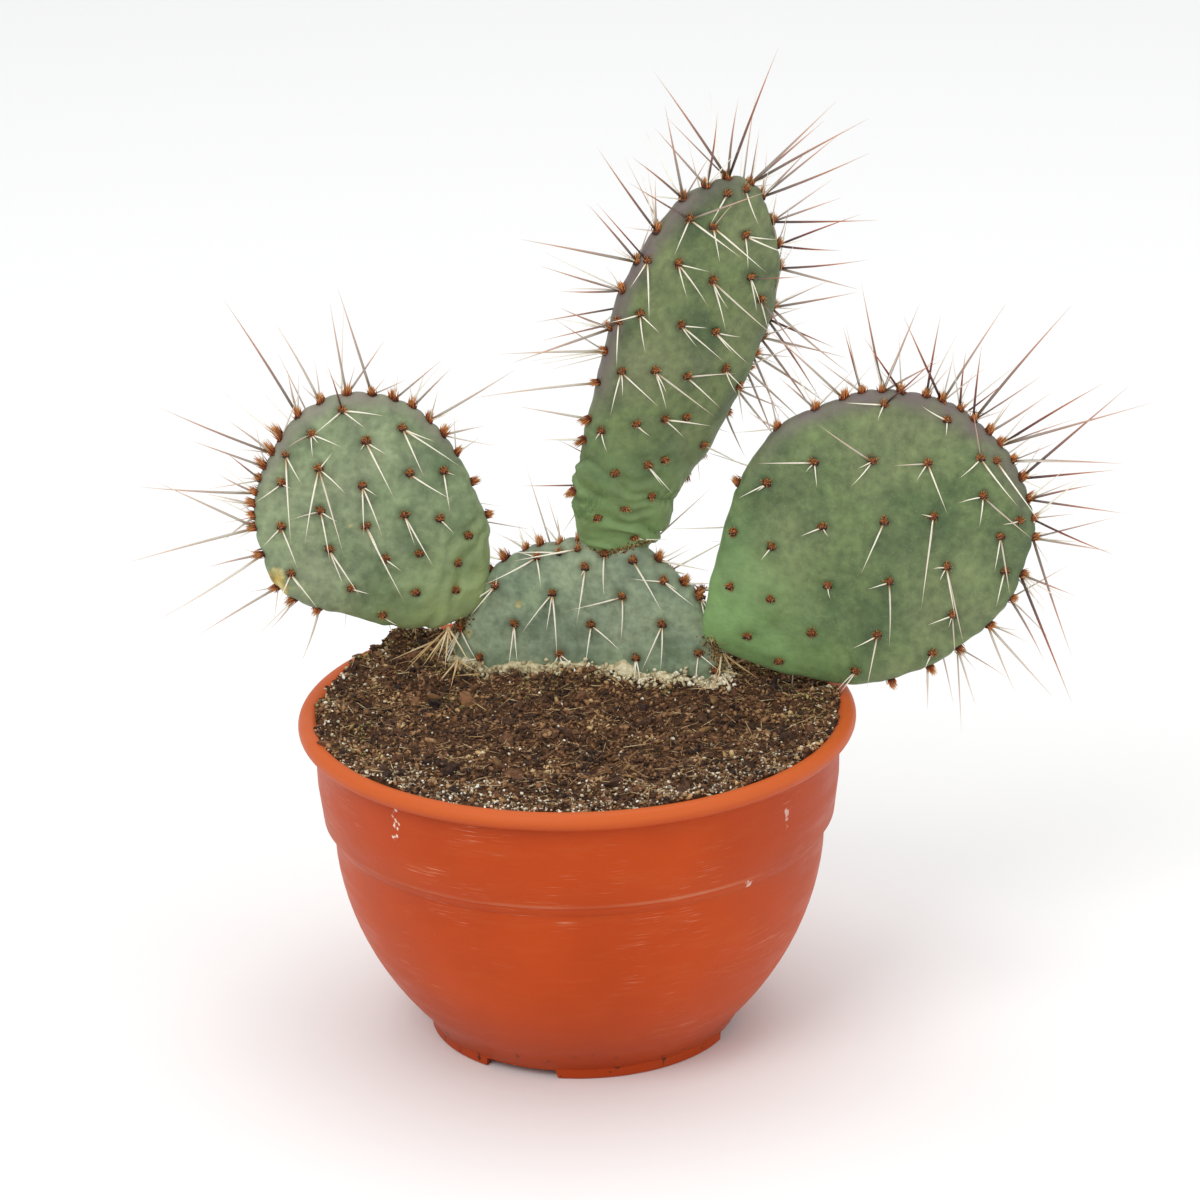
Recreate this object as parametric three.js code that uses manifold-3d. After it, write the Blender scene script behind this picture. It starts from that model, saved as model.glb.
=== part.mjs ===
// A prickly pear cactus of four flat pads, rooted in a bowl-shaped plastic pot.
// Millimetres, +Z up, the front towards -Y. The model is drawn around the pot's axis and
// then moved so that the origin is the middle of its footprint.
//
// A pad has a frame of its own: X across its width, Z from its base to its tip, and -Y out
// of its front face. Its outline is a list of [across, along] points in that frame.
import * as THREE from 'three';
import { mergeVertices } from 'three/addons/utils/BufferGeometryUtils.js';
import Module from 'manifold-3d';

const wasm = await Module();
wasm.setup();

// ---- Driving dimensions -------------------------------------------------------------

const GAP = 0.35; // clearance between touching pieces
const ROUND = 40; // sides of the turned shapes

const POT = {
  height: 139,
  rimRadius: 115,
  beadRadius: 3.8,
  wall: 2.2,
  // outside of the bowl, from the foot up to the foot of the band
  bowl: [[62, 5], [75.8, 20], [88.7, 40], [97.4, 62], [101.5, 87]],
  // outside of the band and the wall above it, up to below the bead
  band: [[104.9, 94.5], [107.6, 111], [108.2, 130]],
  underside: 3.6,
  floor: 6,
  footInner: 59.6,
  footOuter: 63.6,
  footHeight: 5,
  notchTurn: -64, // degrees from +X to the middle of the foot's first long stretch
  notchSpread: 51, // degrees from there to the notch on each side
  notchWidth: 31,
  notchHeight: 4,
  drains: 4,
  drainRadius: 4.5,
  drainCircle: 46,
};

const SOIL = {
  rimLevel: 136,
  // low heaps on the level: middle x, middle y, height, spread
  heaps: [[10, 36, 8, 42], [-68, 70, 6, 26], [62, 22, 3, 26]],
};

const PADS = {
  mother: {
    centre: [4, 42, 152],
    turn: [0, 0, -17], // pitch, lean, yaw in degrees
    base: 24, // thickness at the base
    tip: 19, // thickness at the tip
    outline: [[5, 45], [22, 44], [40, 32], [53, 17], [60, -6], [57, -32], [38, -54], [4, -64],
      [-30, -54], [-52, -34], [-59, -12], [-54, 8], [-42, 26], [-24, 39]],
  },
  left: {
    centre: [-84, 50, 209],
    turn: [0, -38, 8],
    base: 19,
    tip: 14,
    outline: [[2, 50], [20, 46], [34, 35], [42, 20], [43, -2], [38, -21], [31, -38], [22, -52],
      [8, -61], [-7, -59], [-24, -45], [-40, -24], [-50, 0], [-46, 16], [-32, 36], [-13, 46]],
  },
  middle: {
    centre: [46, 36, 281],
    turn: [0, 20, 24],
    base: 23,
    tip: 15,
    outline: [[2, 76], [13, 68], [25, 54], [32, 35], [34, 13], [31, -12], [27, -38], [21, -60],
      [20, -78], [13, -89], [2, -93], [-10, -92], [-19, -84], [-25, -65], [-29, -42],
      [-34, -6], [-36, 16], [-32, 42], [-23, 62], [-10, 74]],
  },
  right: {
    centre: [121, 19, 203],
    turn: [0, 52, -6],
    base: 21,
    tip: 15,
    outline: [[0, 66], [26, 63], [44, 50], [56, 28], [59, 2], [55, -24], [42, -47], [24, -63],
      [4, -75], [-10, -79], [-24, -64], [-40, -44], [-53, -22], [-59, 4], [-54, 25],
      [-40, 49], [-20, 62]],
  },
};

// Spine clusters on the pads' rims. Each line is one areole: its place around the outline
// in degrees clockwise from the tip, then the length and the aim of each of its spines.
const RIM_SPINES = {
  mother: [
    [-33, [14, -50], [12, -15]],
    [-14, [12, -30], [13, 4]],
    [40, [15, 62], [22, 100]],
  ],
  left: [
    [-90, [38, -79]],
    [-72, [52, -86], [24, -60]],
    [-58, [56, -60], [49, -20]],
    [-40, [49, -49], [18, -30]],
    [-26, [36, -25]],
    [-18, [54, -26], [26, -8]],
    [4, [57, 10], [20, 24]],
    [16, [40, 16]],
    [29, [41, 29], [28, 74]],
    [41, [50, 23]],
    [73, [42, 104]],
  ],
  middle: [
    [-141, [36, -87]],
    [-123, [55, -106]],
    [-101, [51, -96]],
    [-84, [48, -113]],
    [-60, [40, -85]],
    [-45, [60, -85], [37, -55]],
    [-32, [51, -54], [22, -20]],
    [-20, [52, -36], [30, -62]],
    [-5, [68, -9], [58, -50], [42, -25]],
    [3, [49, 24], [57, 49]],
    [9, [52, 64], [28, 30]],
    [18, [48, 80], [30, 50]],
    [36, [44, 96]],
    [54, [39, 71], [44, 118]],
    [72, [44, 92]],
  ],
  right: [
    [-61, [44, -96]],
    [-46, [41, -30], [28, 7], [48, -62]],
    [-24, [41, -75], [49, -20]],
    [-11, [64, -15], [34, -48]],
    [2, [52, 3], [65, 20]],
    [16, [60, -4]],
    [24, [41, 44]],
    [38, [33, 46], [53, 112]],
    [52, [57, 106]],
    [75, [42, 88]],
    [90, [27, 112]],
  ],
};

// Spine clusters on the pads' fronts: [across, along], then the length, the aim and the
// rise off the skin of each spine.
const FACE_SPINES = {
  mother: [
    [-13, 20, [27, 150, 22], [22, 218, 22]],
    [16, 20, [24, 172, 24], [27, 252, 20]],
  ],
  left: [
    [-5, 28, [34, 205, 24], [36, 232, 20]],
    [5, 10, [26, 205, 26], [20, 234, 24]],
    [10, -11, [34, 200, 24]],
  ],
  middle: [
    [-5, 54, [20, 170, 26], [34, 120, 22]],
    [4, 31, [30, 140, 24], [18, 186, 26]],
    [-4, 10, [30, 112, 22], [18, 150, 26]],
  ],
  right: [
    [-11, 40, [20, 168, 26], [24, 240, 22]],
    [8, 28, [26, 120, 24], [20, 236, 22]],
    [18, -4, [30, 150, 24], [16, 252, 24]],
    [-3, 10, [34, 172, 22]],
  ],
};

const CUSHION = { radius: 2.4, height: 1.9 }; // an areole's tuft of glochids
const SPINE = { radius: 0.6, sides: 4, root: 0.8 };
const ROOTS = { crown: [2, 42, 82], crownRadius: 13, count: 5, radius: 2.6, reach: 50, fall: 38 };
const CRUST = { thickness: 3.2, height: 4 };
const COLOURS = {
  pot: [0xc04e24, 0.55],
  soil: [0x4a382a, 0.95],
  roots: [0xb99a6b, 0.9],
  crust: [0xc9bd97, 0.95],
  mother: [0x64807a, 0.6],
  left: [0x78917a, 0.6],
  middle: [0x5e7f58, 0.6],
  right: [0x658a60, 0.6],
  spine: [0x8f4a30, 0.5],
};

// ---- Small helpers ------------------------------------------------------------------

const radians = THREE.MathUtils.degToRad;

// The shape of a geometry as a solid that can be joined and cut.
function solid(geometry) {
  const plain = geometry.clone();
  plain.deleteAttribute('normal');
  plain.deleteAttribute('uv');
  const merged = mergeVertices(plain, 1e-4);
  const kept = [];
  for (let i = 0; i < merged.index.count; i += 3) {
    const [a, b, c] = [0, 1, 2].map((k) => merged.index.getX(i + k));
    if (a !== b && b !== c && c !== a) kept.push(a, b, c);
  }
  const vertProperties = new Float32Array(merged.attributes.position.array);
  const triVerts = new Uint32Array(kept);
  return new wasm.Manifold(new wasm.Mesh({ numProp: 3, vertProperties, triVerts }));
}

// A solid's surface as a geometry.
function surface(body) {
  const mesh = body.getMesh();
  const geometry = new THREE.BufferGeometry();
  geometry.setAttribute('position', new THREE.BufferAttribute(mesh.vertProperties, 3));
  geometry.setIndex(new THREE.BufferAttribute(mesh.triVerts, 1));
  geometry.computeVertexNormals();
  return geometry;
}

function named(name, geometry, look) {
  const [color, roughness] = look;
  const material = new THREE.MeshStandardMaterial({ color, roughness, metalness: 0, flatShading: true });
  const mesh = new THREE.Mesh(geometry, material);
  mesh.name = name;
  return mesh;
}

// A profile of [radius, height] pairs turned round the Z axis.
function turned(profile) {
  const points = profile.map(([r, z]) => new THREE.Vector2(r, z));
  const geometry = new THREE.LatheGeometry(points, ROUND);
  geometry.rotateX(Math.PI / 2);
  return geometry;
}

// An even scatter between -1 and 1 that is the same every time.
function wobble(n) {
  const s = Math.sin(n * 12.9898 + 4.1) * 43758.5453;
  return 2 * (s - Math.floor(s)) - 1;
}

// ---- Pot ----------------------------------------------------------------------------

// The outside of the wall from the foot up to below the bead.
function wallProfile(inset) {
  const bowl = new THREE.SplineCurve(POT.bowl.map(([r, z]) => new THREE.Vector2(r, z)));
  const points = bowl.getPoints(6).map((p) => [p.x - inset, p.y]);
  return [...points, ...POT.band.map(([r, z]) => [r - inset, z])];
}

function beadProfile() {
  const middle = [POT.rimRadius - POT.beadRadius, POT.height - POT.beadRadius];
  const points = [];
  for (let angle = -70; angle <= 150; angle += 44) {
    const [c, s] = [Math.cos(radians(angle)), Math.sin(radians(angle))];
    points.push([middle[0] + POT.beadRadius * c, middle[1] + POT.beadRadius * s]);
  }
  return points;
}

function pot() {
  const outside = [
    [0, POT.underside],
    [POT.footInner, POT.underside],
    [POT.footInner, 0],
    [POT.footOuter, 0],
    [POT.footOuter, POT.footHeight],
  ];
  const inside = wallProfile(POT.wall).filter(([, z]) => z > POT.floor + 3).reverse();
  inside.push([POT.footInner, POT.floor + 0.6], [POT.footInner - 4, POT.floor], [0, POT.floor]);
  let body = solid(turned([...outside, ...wallProfile(0), ...beadProfile(), ...inside]));
  for (const turn of [-1, 1, 1, -1].map((side, i) => side * POT.notchSpread + (i > 1 ? 180 : 0))) {
    const notch = new THREE.BoxGeometry(12, POT.notchWidth, 2 * POT.notchHeight);
    notch.translate((POT.footInner + POT.footOuter) / 2 + 1.6, 0, 0);
    notch.rotateZ(radians(POT.notchTurn + turn));
    body = body.subtract(solid(notch));
  }
  for (let i = 0; i < POT.drains; i += 1) {
    const drain = new THREE.CylinderGeometry(POT.drainRadius, POT.drainRadius, 12, 12);
    drain.rotateX(Math.PI / 2);
    drain.translate(POT.drainCircle, 0, POT.floor);
    drain.rotateZ(radians(POT.notchTurn + (360 / POT.drains) * i));
    body = body.subtract(solid(drain));
  }
  return surface(body);
}

// ---- Soil ---------------------------------------------------------------------------

function soilLevel(x, y) {
  let z = SOIL.rimLevel;
  for (const [cx, cy, height, spread] of SOIL.heaps) {
    z += height * Math.exp(-((x - cx) ** 2 + (y - cy) ** 2) / spread ** 2);
  }
  return z;
}

// The soil before the plant is set in it, its top raised by a given amount.
function soilBlank(raised) {
  const inset = POT.wall + GAP + 0.1;
  const wall = wallProfile(inset).filter(([, z]) => z > POT.floor + 3);
  const edge = [wall.at(-1)[0] + 0.2, SOIL.rimLevel + raised];
  const profile = [[0, POT.floor + GAP], [POT.footInner - 5, POT.floor + GAP], ...wall, edge];
  for (let r = 94; r >= 0; r -= 13.4) profile.push([Math.max(r, 0), edge[1]]);
  profile.push([0, edge[1]]);
  const geometry = turned(profile);
  const at = geometry.attributes.position;
  for (let i = 0; i < at.count; i += 1) {
    const rim = Math.hypot(at.getX(i), at.getY(i)) > 100;
    if (at.getZ(i) > edge[1] - 1 && !rim) at.setZ(i, soilLevel(at.getX(i), at.getY(i)) + raised);
  }
  return solid(geometry);
}

// ---- Pads ---------------------------------------------------------------------------

// The outline's radius for each whole degree, measured clockwise from the tip.
function outlineRadii(outline) {
  const curve = new THREE.CatmullRomCurve3(outline.map(([u, v]) => new THREE.Vector3(u, 0, v)), true);
  const around = curve.getPoints(360).map((p) => {
    const angle = THREE.MathUtils.euclideanModulo(Math.atan2(p.x, p.z), 2 * Math.PI);
    return [THREE.MathUtils.radToDeg(angle), Math.hypot(p.x, p.z)];
  });
  around.sort((a, b) => a[0] - b[0]);
  const radii = [];
  for (let degree = 0; degree < 360; degree += 1) {
    const next = around.findIndex(([angle]) => angle >= degree);
    const [a1, r1] = around[next < 0 ? 0 : next];
    const [a0, r0] = around.at(next <= 0 ? -1 : next - 1);
    const span = THREE.MathUtils.euclideanModulo(a1 - a0, 360) || 1;
    radii.push(r0 + ((r1 - r0) * THREE.MathUtils.euclideanModulo(degree - a0, 360)) / span);
  }
  return radii;
}

for (const pad of Object.values(PADS)) pad.radii = outlineRadii(pad.outline);

function radiusAt(pad, angle) {
  const degrees = THREE.MathUtils.euclideanModulo(THREE.MathUtils.radToDeg(angle), 360);
  const low = Math.floor(degrees);
  const next = pad.radii[(low + 1) % 360];
  return pad.radii[low] + (next - pad.radii[low]) * (degrees - low);
}

const CROWNING = 2.6; // how square the pads' cross-section is: 2 is an ellipse

function halfThickness(pad, along) {
  const heights = pad.outline.map(([, v]) => v);
  const share = (along - Math.min(...heights)) / (Math.max(...heights) - Math.min(...heights));
  return THREE.MathUtils.lerp(pad.base, pad.tip, THREE.MathUtils.clamp(share, 0, 1)) / 2;
}

// A pad in its own frame, swollen by a given amount all round.
function padGeometry(pad, swollen) {
  const geometry = new THREE.IcosahedronGeometry(1, 6);
  const at = geometry.attributes.position;
  for (let i = 0; i < at.count; i += 1) {
    const [x, y, z] = [at.getX(i), at.getY(i), at.getZ(i)];
    const angle = Math.atan2(x, z);
    const radius = (radiusAt(pad, angle) + swollen) * Math.hypot(x, z) ** (2 / CROWNING);
    const along = radius * Math.cos(angle);
    const deep = (halfThickness(pad, along) + swollen) * Math.abs(y) ** (2 / CROWNING);
    at.setXYZ(i, radius * Math.sin(angle), Math.sign(y) * deep, along);
  }
  return geometry;
}

function padMatrix(pad) {
  const turn = new THREE.Euler(...pad.turn.map(radians), 'XYZ');
  const matrix = new THREE.Matrix4().makeRotationFromEuler(turn);
  return matrix.setPosition(...pad.centre);
}

// The mother pad, swollen, as it lies in another pad's frame.
function motherSeenFrom(pad, swollen) {
  const matrix = padMatrix(pad).invert().multiply(padMatrix(PADS.mother));
  return solid(padGeometry(PADS.mother, swollen).applyMatrix4(matrix));
}

function padBody(name) {
  const body = solid(padGeometry(PADS[name], 0));
  return name === 'mother' ? body : body.subtract(motherSeenFrom(PADS[name], GAP));
}

// ---- Spine clusters -----------------------------------------------------------------

// A tapered spine from a point, aimed in the pad's plane and risen off it, in degrees.
function spine(start, length, aim, rise) {
  const cone = new THREE.ConeGeometry(SPINE.radius, length + SPINE.root, SPINE.sides);
  cone.translate(0, (length + SPINE.root) / 2 - SPINE.root, 0);
  const flat = Math.cos(radians(rise));
  const along = new THREE.Vector3(
    flat * Math.sin(radians(aim)),
    -Math.sin(radians(rise)),
    flat * Math.cos(radians(aim)),
  );
  cone.applyQuaternion(new THREE.Quaternion().setFromUnitVectors(new THREE.Vector3(0, 1, 0), along));
  return cone.translate(start.x, start.y, start.z);
}

function cushion(start, outward) {
  const tuft = new THREE.IcosahedronGeometry(CUSHION.radius, 0);
  tuft.scale(1, CUSHION.height / CUSHION.radius, 1);
  tuft.applyQuaternion(new THREE.Quaternion().setFromUnitVectors(new THREE.Vector3(0, 1, 0), outward));
  return tuft.translate(start.x, start.y, start.z);
}

function cluster(pad, start, outward, spines) {
  let body = solid(cushion(start, outward));
  for (const [length, aim, rise] of spines) body = body.add(solid(spine(start, length, aim, rise)));
  body = body.subtract(solid(padGeometry(pad, GAP)));
  return pad === PADS.mother ? body : body.subtract(motherSeenFrom(pad, GAP));
}

function rimCluster(pad, line, seed) {
  const [place, ...spines] = line;
  const angle = radians(place);
  const radius = radiusAt(pad, angle) + 0.9;
  const start = new THREE.Vector3(radius * Math.sin(angle), 0, radius * Math.cos(angle));
  const risen = spines.map(([length, aim], i) => [length, aim, 7 + 15 * wobble(seed * 5 + i)]);
  return cluster(pad, start, start.clone().normalize(), risen);
}

function faceCluster(pad, line) {
  const [across, along, ...spines] = line;
  const fraction = Math.hypot(across, along) / radiusAt(pad, Math.atan2(across, along));
  const deep = halfThickness(pad, along) * (1 - fraction ** CROWNING) ** (1 / CROWNING);
  const start = new THREE.Vector3(across, -deep - 0.7, along);
  return cluster(pad, start, new THREE.Vector3(0, -1, 0), spines);
}

// ---- Roots and crust ----------------------------------------------------------------

function rootPath(i) {
  const [x, y, z] = ROOTS.crown;
  const angle = radians((360 / ROOTS.count) * i + 24);
  const points = [0, 0.3, 0.65, 1].map((share, k) => {
    const reach = ROOTS.reach * share;
    const bend = angle + 0.35 * wobble(i * 4 + k) * share;
    return new THREE.Vector3(
      x + reach * Math.cos(bend),
      y * (1 - 0.45 * share) + reach * Math.sin(bend),
      z - ROOTS.fall * share ** 1.3,
    );
  });
  return new THREE.CatmullRomCurve3(points);
}

function rootSystem(swollen) {
  const crown = new THREE.IcosahedronGeometry(ROOTS.crownRadius + swollen, 1);
  crown.scale(1.5, 0.8, 1.2);
  crown.translate(...ROOTS.crown);
  let body = solid(crown);
  for (let i = 0; i < ROOTS.count; i += 1) {
    const section = new THREE.Shape();
    section.absarc(0, 0, ROOTS.radius + swollen, 0, 2 * Math.PI);
    const extrudePath = rootPath(i);
    const settings = { extrudePath, steps: 7, curveSegments: 3, bevelEnabled: false };
    body = body.add(solid(new THREE.ExtrudeGeometry(section, settings)));
  }
  return body;
}

// The pale ring where the buried pad leaves the soil.
function crust(mother) {
  const ring = mother(CRUST.thickness).subtract(mother(GAP));
  return ring.intersect(soilBlank(CRUST.height)).subtract(soilBlank(GAP));
}

// ---- The whole plant ----------------------------------------------------------------

function padGroup(name) {
  const pad = PADS[name];
  const group = new THREE.Group();
  group.position.set(...pad.centre);
  group.rotation.set(...pad.turn.map(radians), 'XYZ');
  group.add(named(`${name}_pad`, surface(padBody(name)), COLOURS[name]));
  RIM_SPINES[name].forEach((line, i) => {
    const label = `${name}_rim_spines_${String(i + 1).padStart(2, '0')}`;
    group.add(named(label, surface(rimCluster(pad, line, name.length * 20 + i)), COLOURS.spine));
  });
  FACE_SPINES[name].forEach((line, i) => {
    group.add(named(`${name}_face_spines_${i + 1}`, surface(faceCluster(pad, line)), COLOURS.spine));
  });
  return group;
}

function build() {
  const group = new THREE.Group();
  const mother = (swollen) => solid(padGeometry(PADS.mother, swollen).applyMatrix4(padMatrix(PADS.mother)));
  const soil = soilBlank(0).subtract(mother(GAP)).subtract(rootSystem(GAP));
  group.add(named('pot', pot(), COLOURS.pot));
  group.add(named('soil', surface(soil), COLOURS.soil));
  group.add(named('root_system', surface(rootSystem(0).subtract(mother(GAP))), COLOURS.roots));
  group.add(named('soil_line_crust', surface(crust(mother)), COLOURS.crust));
  for (const name of Object.keys(PADS)) group.add(padGroup(name));
  group.updateMatrixWorld(true);
  const box = new THREE.Box3().setFromObject(group, true);
  const middle = box.getCenter(new THREE.Vector3());
  group.position.set(-middle.x, -middle.y, -box.min.z);
  return group;
}

const cactus = build();

export default cactus;
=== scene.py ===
import math
import random
from math import radians

import bmesh
import bpy
import numpy as np
from mathutils import Matrix, Vector, bvhtree, kdtree, noise


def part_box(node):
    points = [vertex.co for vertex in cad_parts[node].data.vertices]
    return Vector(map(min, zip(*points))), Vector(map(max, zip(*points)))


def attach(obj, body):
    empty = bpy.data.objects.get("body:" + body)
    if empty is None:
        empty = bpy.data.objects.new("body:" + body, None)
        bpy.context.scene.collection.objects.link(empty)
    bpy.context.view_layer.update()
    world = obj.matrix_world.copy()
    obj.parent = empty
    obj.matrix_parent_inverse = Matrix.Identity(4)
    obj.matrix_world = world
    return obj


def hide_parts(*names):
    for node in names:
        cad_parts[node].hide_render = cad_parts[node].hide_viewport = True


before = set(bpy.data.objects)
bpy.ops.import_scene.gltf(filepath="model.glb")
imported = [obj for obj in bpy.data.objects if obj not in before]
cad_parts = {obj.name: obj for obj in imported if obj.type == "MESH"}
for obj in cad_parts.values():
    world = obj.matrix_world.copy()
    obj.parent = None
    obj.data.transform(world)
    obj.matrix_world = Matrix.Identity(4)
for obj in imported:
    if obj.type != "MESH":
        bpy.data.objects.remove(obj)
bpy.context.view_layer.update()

# Shapes are drawn in millimetres round the pot's axis and brought to metres once, at the end.
MM = 0.001
POT_LOW, POT_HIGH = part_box("pot")
AXIS = (POT_LOW + POT_HIGH) / 2
TO_FRAME = Matrix.Translation((AXIS.x, AXIS.y, 0)) @ Matrix.Scale(MM, 4)
RIM_TOP = POT_HIGH.z / MM
RIM_RADIUS = (POT_HIGH.x - POT_LOW.x) / 2 / MM


# ---- Sizes ------------------------------------------------------------------------

BEAD = 3.8  # radius of the rolled rim
WALL = 2.2
# The outside of the wall as (radius, height): the bowl, the step under the band, the band.
BOWL = [(62, 5), (75.8, 20), (88.7, 40), (97.4, 62), (101.3, 85.5)]
STEP = [(102.2, 90.4), (103.1, 91.0), (104.3, 94.5), (105.3, 94.9)]
BAND = [(105.6, 95.3), (107.6, 111), (108.2, 130)]
# The foot's first long stretch is centred at its turn, in degrees from +X, with a notch at
# its spread to each side; the same again opposite.
FOOT = {"inner": 59.6, "outer": 63.6, "height": 5, "turn": -64, "spread": 51}
NOTCH = {"width": 31, "height": 4, "depth": 12, "flare": 1.12}
FLOOR = {"underside": 3.6, "top": 6}
DRAIN = {"radius": 4.5, "circle": 46, "count": 4}
# Pale scuffs on the pot: place, length and how strong they show.
SCUFFS = [((-72.7, -78.5, 124), 17, 0.95), ((83, -67, 119), 12, 0.5), ((67, -78, 93), 5, 0.7)]

SOIL_LEVEL = 136
SOIL_RADIUS = 107.8
HEAPS = [(10, 36, 8, 42), (-68, 70, 6, 26), (62, 22, 3, 26)]  # x, y, height and spread
SOIL_LINE = (58.5, 11.6)  # half the mother pad's width and thickness where it leaves the soil

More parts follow.
